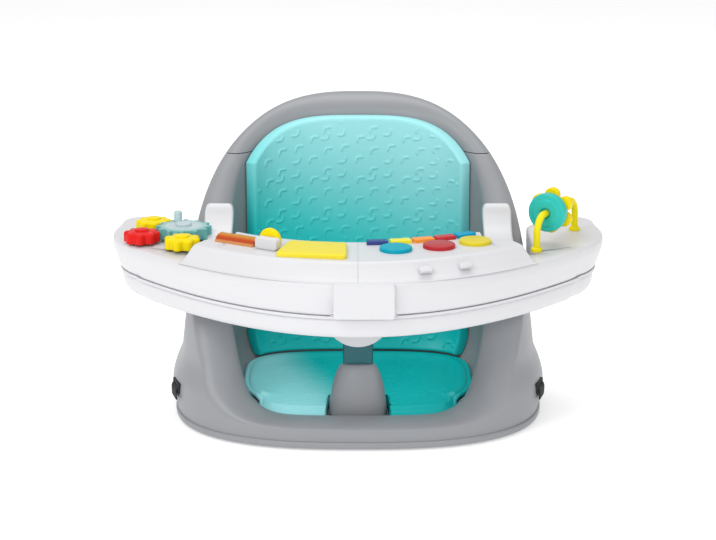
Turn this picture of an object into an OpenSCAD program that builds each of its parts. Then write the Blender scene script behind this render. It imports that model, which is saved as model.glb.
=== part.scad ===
// Baby floor seat: a double-walled tub with a padded seat and a two-level activity tray.
// Frame: +Z up, the child looks towards -Y, the origin lies on the floor below the middle.

/* [Seat shell] */
// Half width of the tub at the hips
body_half_w = 200; // [190:1:215]
// How far the hips bulge past the sides
hip_bulge = 12; // [4:1:16]
// Half depth of the tub
body_half_d = 166; // [158:1:180]
// Distance from the origin back to the middle of the tub
body_y = 16; // [12:1:20]
// Wall of the tub
shell_wall = 3; // [2:0.1:4]
// Height of the seat floor
floor_z = 18; // [16:1:22]
// Height of the front lip
lip_z = 29; // [27:1:34]
// Height of the backrest
top_z = 336; // [325:1:350]
// Half width of the bucket
bucket_half_w = 147; // [142:1:152]
// Radius between the bucket's wall and its floor
bucket_fillet = 45; // [36:1:50]

/* [Base] */
// Height of the rubber feet
foot_h = 2; // [1:0.1:4]
// Radius of a rubber foot
foot_r = 15; // [10:1:18]
// Height of the base ring above the feet
base_h = 8; // [6:0.5:9]
// Width of the strap webbing
strap_w = 25; // [20:1:30]
// Thickness of the strap webbing
strap_t = 1.6; // [1:0.1:2]
// Height of the middle of the strap slots
slot_z = 41; // [36:1:44]

/* [Pads] */
// Thickness of the foam pads
pad_t = 12; // [8:1:16]
// Half width of the back pad
back_pad_half_w = 127; // [120:1:138]

/* [Crotch post] */
// Half width of the post at its foot
post_half_w = 32; // [28:1:36]
// Distance from the origin forward to the post
post_y = 77; // [74:1:80]
// Height of the top of the post
post_top_z = 77; // [70:1:92]
// Width of the neck above the post
neck_w = 33; // [26:1:36]

/* [Tray] */
// Half width of the tray at its widest
tray_half_w = 280; // [270:1:290]
// Distance from the origin forward to the tray's front edge
tray_front = 200; // [194:1:208]
// Height of the underside of the snack tray
tray_z = 138; // [132:1:146]
// Depth of the snack tray
snack_h = 22; // [18:1:26]
// Depth of the toy tray's casing
case_h = 39; // [34:1:44]
// Wall of the trays
tray_wall = 3; // [2:0.1:4]
// Radius of the tray's inner edge
inner_r = 203; // [196:1:208]
// Height of the raised panels
panel_h = 17; // [15:1:20]

/* [Toys] */
// Diameter of the round buttons
button_d = 35; // [28:1:38]
// How far buttons and keys travel
press_travel = 2.5; // [1:0.1:3]
// Number of piano keys
key_count = 5; // [3:1:5]
// Number of pegs on the drive gear
drive_teeth = 12; // [12:1:14]
// Number of lobes on a flower gear
flower_lobes = 8; // [7:1:8]
// Thickness of the gears
gear_t = 10; // [7:1:12]
// Diameter of the roller drum
roller_d = 24; // [18:1:25]
// Length of the roller drum
roller_len = 50; // [40:1:52]
// Diameter of the bead arch's tube
bead_tube_d = 7.6; // [5:0.2:9]
// Radius of the bead disc
bead_r = 21.5; // [16:0.5:24]

/* [Front latch] */
// Width of the latch
latch_w = 64; // [50:1:70]
// Diameter of the latch's pin
latch_pin_d = 3; // [2:0.1:4]

/* [Fits] */
// Clearance between pieces that seat on each other
seat_gap = 0.3; // [0.2:0.05:0.4]
// Radial clearance of a turning fit
run_gap = 0.08; // [0.05:0.01:0.1]

/* [Hidden] */
$fn = 64;

shell_grey = "#a3a4a7";
pad_teal = "#55c8cc";
tray_white = "#efefef";
toy_yellow = "#ebd424";
toy_red = "#d72f22";
toy_blue = "#00a4b3";
steel = "#b9bcc0";
black = "#202124";

// ---- helpers -------------------------------------------------------------------

// Smooth step from 0 to 1
function ease(t) = let (u = min(1, max(0, t))) u * u * (3 - 2 * u);

function mix(a, b, t) = a + (b - a) * t;

// Signed power that turns a circle into a superellipse of exponent n
function spow(v, n) = sign(v) * pow(abs(v), 2 / n);

// Closed solid through rings of points, each with as many points, listed anticlockwise
module loft(rings) {
    count = len(rings[0]);
    last = len(rings) - 1;
    points = [for (ring = rings) each ring];
    bottom = [for (i = [0:count - 1]) i];
    top = concat([last * count], [for (i = [count - 1:-1:1]) last * count + i]);
    sides = [for (k = [0:last - 1], i = [0:count - 1])
        let (a = k * count + i, b = k * count + (i + 1) % count)
        each [[a, a + count, b], [b, a + count, b + count]]];
    polyhedron(points = points, faces = concat([bottom, top], sides));
}

// Lifts a flat outline to height z
function lift(outline, z) = [for (p = outline) [p.x, p.y, z]];

// ---- tub ------------------------------------------------------------------------

plan_n_foot = 2.6;
plan_n_top = 2.2;
foot_tuck = 5;
bucket_n = 3.4;
body_lean = 0.0625;
side_taper = 0.112;
hip_top = 82;
hip_run = 42;
rim_h = 20;
base_top = foot_h + base_h;
seam_angle = 63.5;

function outer_half_w(z) =
    body_half_w - side_taper * max(0, z - hip_top)
        + hip_bulge * ease((hip_top - z) / hip_run) - foot_tuck * ease((34 - z) / 30);

// Exponent of the outer plan: boxy at the foot, rounder at the top
function plan_n(z) = mix(plan_n_foot, plan_n_top, z / top_z);

// Point of the outer wall at height z, inset by w; angle t runs from the front
function outer_at(t, z, w) = [
    (outer_half_w(z) - w) * spow(sin(t), plan_n(z)),
    body_y + body_lean * z - (body_half_d - w) * spow(cos(t), plan_n(z))];

bucket_front = 128;
bucket_y = body_y + 8;
bucket_back = 92;
back_lean = 0.12;

function bucket_half_d(t, z) = cos(t) > 0 ? bucket_front : bucket_back + back_lean * z;

// Point of the bucket's wall at height z, set back into the wall by w
function inner_at(t, z, w) = [
    (bucket_half_w + w) * spow(sin(t), bucket_n),
    bucket_y - (bucket_half_d(t, z) + w) * spow(cos(t), bucket_n)];

// Height of the rim's crest
function crest_z(t) = let (back = acos(-cos(t)), fall = mix(0.68, 0.84, ease((back - 55) / 50)))
    lip_z + (top_z - lip_z) * pow((1 + cos(back)) / 2, fall) * ease((165 - back) / 60);

function rim_drop(t) = min(rim_h, 0.6 * (crest_z(t) - floor_z));

// Upper end of the walls, below the rounded rim
function wall_top(t) = crest_z(t) - rim_drop(t);

// Height of the level seam between the seat shell and the backrest shell
seam_z = crest_z(180 - seam_angle);

// Height of the fillet between the bucket's wall and its floor, and how far it runs inwards
function fillet_rise(t) = min(bucket_fillet, crest_z(t) - rim_drop(t) - floor_z - 0.5);
function fillet_run(t) = min(bucket_fillet, 1.5 * fillet_rise(t));

// How far the bucket's wall has come in at height up above the floor
function fillet_in(t, up) = let (k = max(0, 1 - up / fillet_rise(t)))
    fillet_run(t) * (1 - sqrt(1 - k * k));

// Points of one upright section, from the outer foot over the rim to the floor
function tub_section(t, w, wall_n, rim_n, in_n, fillet_n) = let (
    top = wall_top(t),
    low = floor_z - w,
    arc = fillet_rise(t))
    concat(
        [for (i = [0:wall_n]) let (z = mix(base_top, top, i / wall_n), p = outer_at(t, z, w))
            [p.x, p.y, z]],
        [for (i = [1:rim_n]) let (
            a = 180 * i / rim_n,
            z = top + (rim_drop(t) - w) * sin(a),
            p = mix(outer_at(t, z, w), inner_at(t, z, w), (1 - cos(a)) / 2))
            [p.x, p.y, z]],
        [for (i = [1:in_n]) let (
            z = mix(top, low + arc, i / in_n), p = inner_at(t, z, w)) [p.x, p.y, z]],
        [for (i = [1:fillet_n]) let (
            a = 90 * i / fillet_n,
            z = low + arc * (1 - sin(a)),
            p = inner_at(t, z, w - fillet_run(t) * (1 - cos(a)))) [p.x, p.y, z]]);

// Half of the angle that the back pad spans, and the columns of the pad
back_span = asin(pow(back_pad_half_w / (bucket_half_w - pad_t / 2), bucket_n / 2));
back_cols_n = 28;

// Directions of the tub's upright sections: behind the back pad they stand on its columns
front_cols_n = 38;
tub_angles = concat(
    [for (i = [0:front_cols_n]) mix(-180 + back_span, 180 - back_span, i / front_cols_n)],
    [for (i = [1:back_cols_n - 1]) mix(180 - back_span, 180 + back_span, i / back_cols_n)]);

// Whole tub, seat and backrest in one
module tub_body() {
    cols = len(tub_angles);
    upper = [for (t = tub_angles) tub_section(t, 0, 6, 8, 3, 4)];
    under = [for (t = tub_angles) tub_section(t, shell_wall, 4, 6, 2, 4)];
    n = len(upper[0]);
    m = len(under[0]);
    pole_top = cols * (n + m);
    points = concat(
        [for (c = upper) each c],
        [for (c = under) each c],
        [[0, bucket_y, floor_z], [0, bucket_y, floor_z - shell_wall]]);
    function up(i, k) = (i % cols) * n + k;
    function un(i, k) = cols * n + (i % cols) * m + k;
    faces = concat(
        [for (i = [0:cols - 1], k = [0:n - 2]) each [
            [up(i, k), up(i, k + 1), up(i + 1, k)],
            [up(i + 1, k), up(i, k + 1), up(i + 1, k + 1)]]],
        [for (i = [0:cols - 1], k = [0:m - 2]) each [
            [un(i, k), un(i + 1, k), un(i, k + 1)],
            [un(i + 1, k), un(i + 1, k + 1), un(i, k + 1)]]],
        [for (i = [0:cols - 1]) each [
            [up(i, 0), up(i + 1, 0), un(i, 0)],
            [up(i + 1, 0), un(i + 1, 0), un(i, 0)],
            [up(i, n - 1), pole_top, up(i + 1, n - 1)],
            [un(i, m - 1), un(i + 1, m - 1), pole_top + 1]]]);
    polyhedron(points = points, faces = faces);
}

// Block wider than the tub that stands on height z, or hangs below it
module block_from(z, hangs = false) {
    reach = 2 * body_half_w;
    translate([-reach, -reach, hangs ? z - top_z : z])
        cube([2 * reach, 2 * reach, top_z]);
}

// Places of the base screws, left and right, front and back
screw_x = 88;
screw_y = 62;
screw_places = [for (x = [-screw_x, screw_x], y = [-screw_y, screw_y]) [x, bucket_y + y - 8]];
base_screw_r = 2;
head_r = 3.4;
head_h = 1.6;
boss_r = 5;

slot_w = strap_w + 5;
slot_h = 12;
slot_angle = 72;
slot_turn = 16;
slot_at = outer_at(slot_angle, slot_z, 0);

// Frame of a strap slot: its origin on the outer wall, +X pointing out of it
module at_slot(s) {
    mirror([s < 0 ? 1 : 0, 0, 0])
        translate([slot_at.x, slot_at.y, slot_z])
            rotate([0, 0, -slot_turn])
                children();
}

module seat_shell() {
    color(shell_grey)
        difference() {
            union() {
                tub_body();
                for (p = screw_places)
                    translate([p.x, p.y, base_top])
                        cylinder(r = boss_r, h = floor_z - shell_wall / 2 - base_top);
            }
            for (p = screw_places)
                translate([p.x, p.y, base_top - 1])
                    cylinder(r = base_screw_r + run_gap, h = floor_z - shell_wall - base_top + 1);
            for (s = [-1, 1])
                at_slot(s)
                    cube([6 * shell_wall, slot_w, slot_h], center = true);
            block_from(seam_z);
        }
}

// Cap of the backrest: one moulding over the rim, above the seam
module backrest_shell() {
    color(shell_grey)
        difference() {
            tub_body();
            block_from(seam_z + seat_gap, hangs = true);
        }
}

// ---- base -----------------------------------------------------------------------

base_lip = 1.5;
base_plate_t = 3;

module foot_outline(inset) {
    steps = 72;
    polygon([for (i = [0:steps - 1]) let (t = 360 * i / steps) [
        (outer_half_w(base_top) + base_lip - inset) * spow(sin(t), plan_n_foot),
        body_y + (body_half_d + base_lip - inset) * spow(cos(t), plan_n_foot)]]);
}

module base_plate() {
    ring_w = 9;
    color(shell_grey)
        translate([0, 0, foot_h])
            difference() {
                linear_extrude(height = base_h)
                    foot_outline(0);
                translate([0, 0, base_plate_t])
                    linear_extrude(height = base_h)
                        foot_outline(ring_w);
                for (p = screw_places)
                    translate([p.x, p.y, -1]) {
                        cylinder(r = base_screw_r + seat_gap, h = base_h);
                        cylinder(r = head_r + seat_gap, h = 1 + head_h);
                    }
            }
}

module foot_pads() {
    inset = 26;
    color(black)
        for (t = [28, 90, 152, 208, 270, 332])
            translate([
                (outer_half_w(base_top) - inset) * spow(sin(t), plan_n_foot),
                body_y + (body_half_d - inset) * spow(cos(t), plan_n_foot), 0])
                cylinder(r = foot_r, h = foot_h);
}

// Pan-head screw that points up, its head between z = 0 and its height
module screw(shank_r, length, head_r, head_h) {
    cylinder(r = head_r, h = head_h);
    cylinder(r = shank_r, h = length);
}

module base_screws() {
    color(steel)
        for (p = screw_places)
            translate([p.x, p.y, foot_h])
                screw(base_screw_r, floor_z - shell_wall - foot_h - 1, head_r, head_h);
}

// ---- strap ----------------------------------------------------------------------

guide_t = 2.4;

module strap_guides() {
    color(black)
        for (s = [-1, 1])
            at_slot(s)
                translate([0.5 - shell_wall / 2, 0, 0])
                    difference() {
                        cube([shell_wall + guide_t, slot_w - 2 * seat_gap,
                            slot_h - 2 * seat_gap], center = true);
                        cube([3 * shell_wall, slot_w - 3, slot_h - 5], center = true);
                    }
}

strap_run_z = base_top - 2.5;

// One strap: from under the seat it rises behind the wall, passes the slot and hangs outside
module chair_strap() {
    reach = slot_at.x / cos(slot_turn);
    run = strap_run_z - slot_z;
    flap = -13;
    lift_x = -18;
    out_x = 1.9;
    side = [[-reach, run], [lift_x, run], [lift_x + 4, -1], [out_x, -1], [out_x, flap],
        [out_x + strap_t, flap], [out_x + strap_t, strap_t - 1], [lift_x + 3, strap_t - 1],
        [lift_x - 1.5, run + strap_t], [-reach, run + strap_t]];
    color(black)
        for (s = [-1, 1])
            at_slot(s)
                translate([0, strap_w / 2, 0])
                    rotate([90, 0, 0])
                        linear_extrude(height = strap_w)
                            polygon(side);
}

// ---- pads -----------------------------------------------------------------------

// Point on the bucket's wall at height z, moved into the bucket by d
function pad_at(t, z, d) = let (p = inner_at(t, z, -d)) [p.x, p.y, z];

// How full a pad is across its grid, 0 at the edges and 1 over the middle
function crown(u, v) = (1 - pow(abs(u), 6)) * (1 - pow(abs(v), 8));

back_pad_gap = 1.6;
back_pad_foot = floor_z + pad_t + 6;
back_rows_n = 19;

function back_pad_top(t) = wall_top(t) - 3.5;

module back_pad() {
    function grid(i, j, front) = let (
        u = 2 * i / back_cols_n - 1,
        v = 2 * j / back_rows_n - 1,
        t = 180 + back_span * u,
        z = mix(back_pad_foot, back_pad_top(t), j / back_rows_n),
        full = crown(u, v),
        d = front ? back_pad_gap + pad_t * (0.35 + 0.65 * full) : back_pad_gap)
        pad_at(t, z, d + fillet_in(t, z - floor_z));
    w = back_cols_n + 1;
    h = back_rows_n + 1;
    half = w * h;
    points = [for (f = [true, false], j = [0:back_rows_n], i = [0:back_cols_n]) grid(i, j, f)];
    function id(i, j, s) = s * half + j * w + i;
    faces = concat(
        [for (j = [0:back_rows_n - 1], i = [0:back_cols_n - 1]) each [
            [id(i, j, 0), id(i, j + 1, 0), id(i + 1, j, 0)],
            [id(i + 1, j, 0), id(i, j + 1, 0), id(i + 1, j + 1, 0)],
            [id(i, j, 1), id(i + 1, j, 1), id(i, j + 1, 1)],
            [id(i + 1, j, 1), id(i + 1, j + 1, 1), id(i, j + 1, 1)]]],
        [for (i = [0:back_cols_n - 1]) each [
            [id(i, 0, 0), id(i + 1, 0, 0), id(i, 0, 1)],
            [id(i + 1, 0, 0), id(i + 1, 0, 1), id(i, 0, 1)],
            [id(i, h - 1, 0), id(i, h - 1, 1), id(i + 1, h - 1, 0)],
            [id(i + 1, h - 1, 0), id(i, h - 1, 1), id(i + 1, h - 1, 1)]]],
        [for (j = [0:back_rows_n - 1]) each [
            [id(0, j, 0), id(0, j, 1), id(0, j + 1, 0)],
            [id(0, j + 1, 0), id(0, j, 1), id(0, j + 1, 1)],
            [id(w - 1, j, 0), id(w - 1, j + 1, 0), id(w - 1, j, 1)],
            [id(w - 1, j + 1, 0), id(w - 1, j + 1, 1), id(w - 1, j, 1)]]]);
    color(pad_teal)
        polyhedron(points = points, faces = faces);
}

// Point of the seat pad, d above the tub: rise_turn is 0 where the floor ends, 90 up the wall
function seat_at(t, d, rise_turn) = let (
    run = max(fillet_run(t), 0.5 * d + 6),
    rise = max(fillet_rise(t), d + 6),
    z = floor_z + rise - (rise - d) * cos(rise_turn),
    p = inner_at(t, z, (run - d) * sin(rise_turn) - run))
    [p.x, p.y, z];

seat_edge_turn = 40;

// Line from near the middle to the pad's edge, through the given turns
function seat_section(t, d, turns) = concat(
    [for (k = [0.35, 0.7]) let (p = seat_at(t, d, 0)) [k * p.x, mix(bucket_y, p.y, k), p.z]],
    [for (a = turns) seat_at(t, d, a)]);

module seat_pad_body() {
    under = [for (t = tub_angles) concat(
        seat_section(t, back_pad_gap, [0, 22.5, seat_edge_turn]),
        [seat_at(t, back_pad_gap + 0.45 * pad_t, seat_edge_turn + 3)])];
    over = [for (t = tub_angles)
        seat_section(t, back_pad_gap + pad_t, [0, 13, 25, seat_edge_turn - 3])];
    m = len(under[0]);
    n = len(over[0]);
    c = len(tub_angles);
    points = concat(
        [for (s = under) each s],
        [for (s = over) each s],
        [[0, bucket_y, floor_z + back_pad_gap], [0, bucket_y, floor_z + back_pad_gap + pad_t]]);
    function a(i, k) = (i % c) * m + k;
    function b(i, k) = c * m + (i % c) * n + k;
    pole = c * (m + n);
    faces = concat(
        [for (i = [0:c - 1], k = [0:m - 2]) each [
            [a(i, k), a(i, k + 1), a(i + 1, k)],
            [a(i + 1, k), a(i, k + 1), a(i + 1, k + 1)]]],
        [for (i = [0:c - 1], k = [0:n - 2]) each [
            [b(i, k), b(i + 1, k), b(i, k + 1)],
            [b(i + 1, k), b(i + 1, k + 1), b(i, k + 1)]]],
        [for (i = [0:c - 1]) each [
            [a(i, m - 1), b(i, n - 1), a(i + 1, m - 1)],
            [a(i + 1, m - 1), b(i, n - 1), b(i + 1, n - 1)],
            [a(i, 0), a(i + 1, 0), pole],
            [b(i, 0), pole + 1, b(i + 1, 0)]]]);
    polyhedron(points = points, faces = faces);
}

post_half_d = 22;
post_round = 2.5;

module seat_pad() {
    notch_half_w = post_half_w + 2;
    notch_back = -post_y + post_half_d + 3;
    color(pad_teal)
        difference() {
            seat_pad_body();
            translate([-notch_half_w, notch_back - 120, 0])
                cube([2 * notch_half_w, 120, 60]);
        }
}

// ---- crotch post ----------------------------------------------------------------

function post_ring(half_w, half_d, z) = [for (i = [0:31]) let (t = 360 * i / 32)
    [half_w * spow(sin(t), post_round), -post_y - half_d * spow(cos(t), post_round), z]];

post_foot = floor_z + seat_gap;

module crotch_post() {
    shape = [[0, 1], [0.12, 1], [0.35, 0.95], [0.55, 0.89], [0.72, 0.81], [0.86, 0.71],
        [0.95, 0.6], [1, 0.5]];
    color(shell_grey)
        loft([for (s = shape) post_ring(post_half_w * s[1], post_half_d * s[1],
            mix(post_foot, post_top_z, s[0]))]);
}

neck_d = 12;

module post_neck() {
    top = tray_z - seat_gap;
    color("#055a63")
        translate([0, -post_y, post_top_z])
            linear_extrude(height = top - post_top_z)
                rounded_rect(neck_w, neck_d, 3);
}

// Rectangle about the origin with round corners
module rounded_rect(w, d, r) {
    square([w - 2 * r, d], center = true);
    square([w, d - 2 * r], center = true);
    for (x = [-1, 1], y = [-1, 1])
        translate([x * (w / 2 - r), y * (d / 2 - r)])
            circle(r = r);
}

// ---- tray outlines --------------------------------------------------------------

case_z = tray_z + snack_h;
bottom_t = 3;
deck_z = case_z + case_h;
bow = 0.0025;
arm_gap_x = 194;
arm_gap_y = 64;
wing_x = 138;
arm_corner = 15;
arc_y = inner_r - 78;

// Roundings of a wing's tip, as shares of the wing's width
wing_w = tray_half_w - arm_gap_x;
tip_r = 0.767 * wing_w;
tip_back_r = 0.349 * wing_w;
tip_back_x = tray_half_w - 0.372 * wing_w;
front_end_x = tray_half_w - 0.326 * wing_w;

// Right half of the tray's outline: the outer edge from the front middle round the tip
outer_half = concat(
    [for (i = [0:14]) let (x = front_end_x * i / 14) [x, -tray_front + bow * x * x]],
    [for (i = [1:8]) let (a = mix(-62, 20, i / 8))
        [tray_half_w - tip_r + tip_r * cos(a), 36 + 89 * sin(a)]],
    [for (i = [1:6]) let (a = mix(25, 150, i / 6))
        [tip_back_x + tip_back_r * cos(a), 82 + tip_back_r * sin(a)]]);

// and the inner edge from the tip past the arm to the middle
inner_half = concat(
    [[arm_gap_x, 66], [arm_gap_x, -arm_gap_y + arm_corner],
        [arm_gap_x - arm_corner, -arm_gap_y], [wing_x, -arm_gap_y]],
    [for (i = [1:10]) let (a = asin(wing_x / inner_r) * (1 - i / 10))
        [inner_r * sin(a), arc_y - inner_r * cos(a)]]);

half_outline = concat(outer_half, inner_half);
half_last = len(half_outline) - 1;
full_outline = concat(half_outline,
    [for (i = [half_last - 1:-1:1]) [-half_outline[i].x, half_outline[i].y]]);

// Inset of edge j: g on the outer edges, g_in on the inner ones
function edge_inset(j, g, g_in) =
    (j < half_last ? j : 2 * half_last - 1 - j) < len(outer_half) ? g : g_in;

// Unit normal of edge j, pointing into the tray
function edge_normal(j) = let (
    count = len(full_outline),
    d = full_outline[(j + 1) % count] - full_outline[j % count])
    [-d.y, d.x] / norm(d);

// Outline of a tray whose edges are moved in parallel, by g outside and g_in inside
function tray_outline(g, g_in) = let (count = len(full_outline))
    [for (j = [0:count - 1]) let (
        before = (j + count - 1) % count,
        m = edge_normal(before),
        n = edge_normal(j),
        a = edge_inset(before, g, g_in),
        b = edge_inset(j, g, g_in),
        area = m.x * n.y - m.y * n.x)
        full_outline[j] + [a * n.y - b * m.y, b * m.x - a * n.x] / area];

module tray_plate(g, g_in, z, h) {
    translate([0, 0, z])
        linear_extrude(height = h)
            polygon(tray_outline(g, g_in));
}

// Tapered tray body: each step is [outer inset, inner inset, height]
module tray_loft(steps) {
    loft([for (s = steps) lift(tray_outline(s[0], s[1]), s[2])]);
}

// ---- snack tray -----------------------------------------------------------------

snack_inset = 10;
snack_draft = 4;

module snack_tray() {
    color(tray_white)
        difference() {
            tray_loft([
                [snack_inset + 2 * snack_draft, 3, tray_z],
                [snack_inset + snack_draft, 1, tray_z + 4],
                [snack_inset, 1, tray_z + snack_h]]);
            tray_loft([
                [snack_inset + 2 * snack_draft + tray_wall, 3 + tray_wall, tray_z + tray_wall],
                [snack_inset + tray_wall, 1 + tray_wall, tray_z + snack_h],
                [snack_inset + tray_wall, 1 + tray_wall, tray_z + snack_h + 1]]);
        }
}

tab_r = 36;

module tray_front_tab() {
    drop = 40;
    color(tray_white)
        translate([0, -post_y - neck_d / 2 - 5 - seat_gap, tray_z])
            rotate([90, 0, 0])
                linear_extrude(height = 5)
                    intersection() {
                        translate([0, -drop + tab_r])
                            union() {
                                circle(r = tab_r);
                                translate([-tab_r, 0])
                                    square([2 * tab_r, drop]);
                            }
                        translate([-tab_r, -drop])
                            square([2 * tab_r, drop]);
                    }
}

// Side clip that reaches over the arm of the tub
clip_w = 32;
clip_x = 158;
clip_top = 232;
clip_gap = 4.5;

// Point above the middle of the arm's crest, as [y, z]
function over_arm(t) = let (
    z = crest_z(t),
    p = mix(outer_at(t, z, 0), inner_at(t, z, 0), 0.5))
    [p.y, max(case_z + 2, z + clip_gap)];

module tray_clip(s) {
    back = over_arm(93);
    side = concat(
        [[-arm_gap_y, case_z + 2], [-arm_gap_y, deck_z], [-18, deck_z + 1], [4, deck_z + 6],
            [19, deck_z + 17], [27, clip_top - 8], [31, clip_top], [back.x - 6, clip_top],
            [back.x, clip_top - 6]],
        [for (t = [93, 89, 85, 81, 77, 73]) over_arm(t)]);
    color(tray_white)
        translate([s * clip_x, 0, 0])
            intersection() {
                translate([-clip_w / 2, 0, 0])
                    rotate([90, 0, 90])
                        linear_extrude(height = clip_w)
                            polygon(side);
                translate([0, 100, 0])
                    rotate([90, 0, 0])
                        linear_extrude(height = 300)
                            clip_face();
            }
}

// Front view of a clip: straight sides and two round upper corners
module clip_face() {
    r = 8;
    half = clip_w / 2;
    translate([-half, 0])
        square([clip_w, clip_top - r]);
    translate([-half + r, 0])
        square([clip_w - 2 * r, clip_top]);
    for (s = [-1, 1])
        translate([s * (half - r), clip_top - r])
            circle(r = r);
}

module tray_clip_left() {
    difference() {
        tray_clip(-1);
        // Scoop that lets the drive gear and its knob turn past
        translate([drive_at.x, drive_at.y, deck_z + 1])
            cylinder(r = drive_r + 3, h = gear_z - deck_z + gear_t + knob_h);
    }
}

module tray_clip_right() {
    tray_clip(1);
}

// ---- toy tray -------------------------------------------------------------------

// Raised panels: their front edge runs from the foot of the slope (up = 0) to its top (up = 1)
panel_foot = 11;
panel_slope = 21;
panel_end = 180;
panel_bow = 0.00235;

function panel_edge(x, up) =
    -tray_front + panel_foot + up * panel_slope + panel_bow * x * x;

// Where the right panel's front edge ends: it slopes out towards its foot
function panel_last(up) = panel_end + 12 * (1 - up);

// Outline of the right panel, its rear edge moved forward by g, up to x = last
function panel_outline(g, up, last) = let (
    rear_r = inner_r + 4,
    widest = asin((wing_x - 6) / rear_r),
    bent = panel_end - 12,
    end_y = panel_edge(bent, up) + 0.83 * (last - bent),
    rear_y = -arm_gap_y - 2.5 - g)
    concat(
        [for (i = [0:7]) let (x = bent * i / 7) [x, panel_edge(x, up)]],
        [[last, end_y], [last - 0.557 * (rear_y - end_y), rear_y], [wing_x, rear_y]],
        [for (i = [0:8]) let (a = widest * (1 - i / 8))
            [(rear_r + g) * sin(a), arc_y - (rear_r + g) * cos(a)]]);

module panel_body() {
    loft([
        lift(panel_outline(0, 0, panel_last(0)), deck_z),
        lift(panel_outline(0.6, 0.8, panel_last(0.8)), deck_z + panel_h - 2.5),
        lift(panel_outline(2.5, 1, panel_last(1)), deck_z + panel_h)]);
}

panel_top = deck_z + panel_h;
panel_wall = 3;
skin_z = panel_top - panel_wall;
half_seam = 0.4;

// Block of the given half width about the seam between the panels
module seam_block(half_w) {
    translate([-half_w, -tray_front, deck_z - 2])
        cube([2 * half_w, tray_front, panel_h + 4]);
}

module panel_shell() {
    difference() {
        panel_body();
        difference() {
            translate([0, 0, deck_z - 1])
                linear_extrude(height = skin_z - deck_z + 1)
                    polygon(panel_outline(panel_wall, 1.1, panel_end - 4));
            seam_block(half_seam + panel_wall);
        }
        seam_block(half_seam);
    }
}

button_ring = inner_r + 44;
button_angles = [9.4, 20.6, 30.8];
key_r1 = inner_r + 8.4;
key_r2 = inner_r + 20.5;
key_pitch = 6.75;
key_start = 5.45;

// Sector of a ring about the tray's arc centre, from angle a1 to a2 off straight forward
module sector(r1, r2, a1, a2) {
    steps = 6;
    translate([0, arc_y])
        polygon(concat(
            [for (i = [0:steps]) let (a = mix(a1, a2, i / steps)) [r1 * sin(a), -r1 * cos(a)]],
            [for (i = [steps:-1:0]) let (a = mix(a1, a2, i / steps)) [r2 * sin(a), -r2 * cos(a)]]));
}

module key_shape(i, grow) {
    mid = key_start + key_pitch * i;
    half = key_pitch / 2 - 0.35 + grow * 0.27;
    sector(key_r1 - grow, key_r2 + grow, mid - half, mid + half);
}

module button_shape(i, grow) {
    a = button_angles[i];
    translate([button_ring * sin(a), arc_y - button_ring * cos(a)])
        circle(d = button_d + 2 * grow);
}

// Corners of the big light-up key and the radius of their rounding
light_key_corners = [[-81, -143], [-17, -154], [-17, -108], [-70, -99]];
light_key_r = 5;

// Outward unit normal of the key's edge that starts at corner i
function light_normal(i) = let (
    count = len(light_key_corners),
    d = light_key_corners[(i + 1) % count] - light_key_corners[i % count])
    [d.y, -d.x] / norm(d);

module light_shape(grow) {
    count = len(light_key_corners);
    steps = 6;
    polygon([for (i = [0:count - 1], k = [0:steps]) let (
        n = mix(light_normal(i + count - 1), light_normal(i), k / steps))
        light_key_corners[i] + (light_key_r + grow) * n / norm(n)]);
}

// Cap that stands in a hole of the panel, with a flange below the skin
module press_piece(rise) {
    stem = 6;
    translate([0, 0, skin_z - stem])
        linear_extrude(height = panel_wall + stem + rise)
            children(0);
    translate([0, 0, skin_z - seat_gap - 1.5])
        linear_extrude(height = 1.5)
            children(1);
}

flange = 1.4;
key_flange = 0.9;

module piano_key(i, tint) {
    color(tint)
        press_piece(4) {
            key_shape(i, 0);
            key_shape(i, key_flange);
        }
}

module piano_key_1() {
    piano_key(0, "#3d4a80");
}

module piano_key_2() {
    piano_key(1, "#f0e040");
}

module piano_key_3() {
    piano_key(2, "#fca757");
}

module piano_key_4() {
    piano_key(3, "#c0404a");
}

module piano_key_5() {
    piano_key(4, "#0a9ac0");
}

module round_button(i, tint) {
    color(tint)
        press_piece(4.5) {
            button_shape(i, 0);
            button_shape(i, flange);
        }
}

module button_blue() {
    round_button(0, toy_blue);
}

module button_red() {
    round_button(1, toy_red);
}

module button_yellow() {
    round_button(2, toy_yellow);
}

module light_key() {
    color(toy_yellow)
        press_piece(5) {
            light_shape(0);
            light_shape(flange);
        }
}

module press_hole() {
    translate([0, 0, skin_z - 1])
        linear_extrude(height = panel_wall + 2)
            children();
}

// Slide switches in the sloped front face of the right panel
switch_x = [70, 112];
switch_w = 14;
switch_z = deck_z + 7;
switch_throw = 6;

function switch_spot(i) = let (x = switch_x[i]) [x, panel_edge(x, (switch_z - deck_z) / panel_h)];

function switch_turn(i) = atan(2 * panel_bow * switch_x[i]);

module at_switch(i) {
    p = switch_spot(i);
    translate([p.x, p.y, switch_z])
        rotate([0, 0, switch_turn(i)])
            rotate([-50, 0, 0])
                children();
}

module slide_switch(i) {
    color(tray_white)
        at_switch(i) {
            translate([0, -3.2, 0])
                cube([switch_w, 4.4, 7], center = true);
            translate([0, 3, 0])
                cube([4, 9, 3], center = true);
        }
}

module volume_switch() {
    slide_switch(0);
}

module mode_switch() {
    slide_switch(1);
}

// Roller in the left panel
roller_at = [-128.5, -85];
roller_turn = -32;
roller_z = deck_z + 13.5;
axle_r = 2;

module at_roller() {
    translate([roller_at.x, roller_at.y, roller_z])
        rotate([0, 0, roller_turn])
            rotate([0, 90, 0])
                children();
}

module roller_drum() {
    color("#c76035")
        at_roller()
            difference() {
                cylinder(d = roller_d, h = roller_len, center = true);
                cylinder(r = axle_r + run_gap, h = roller_len + 2, center = true);
            }
}

module roller_axle() {
    color(steel)
        at_roller()
            cylinder(r = axle_r, h = roller_len + 7, center = true);
}

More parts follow.
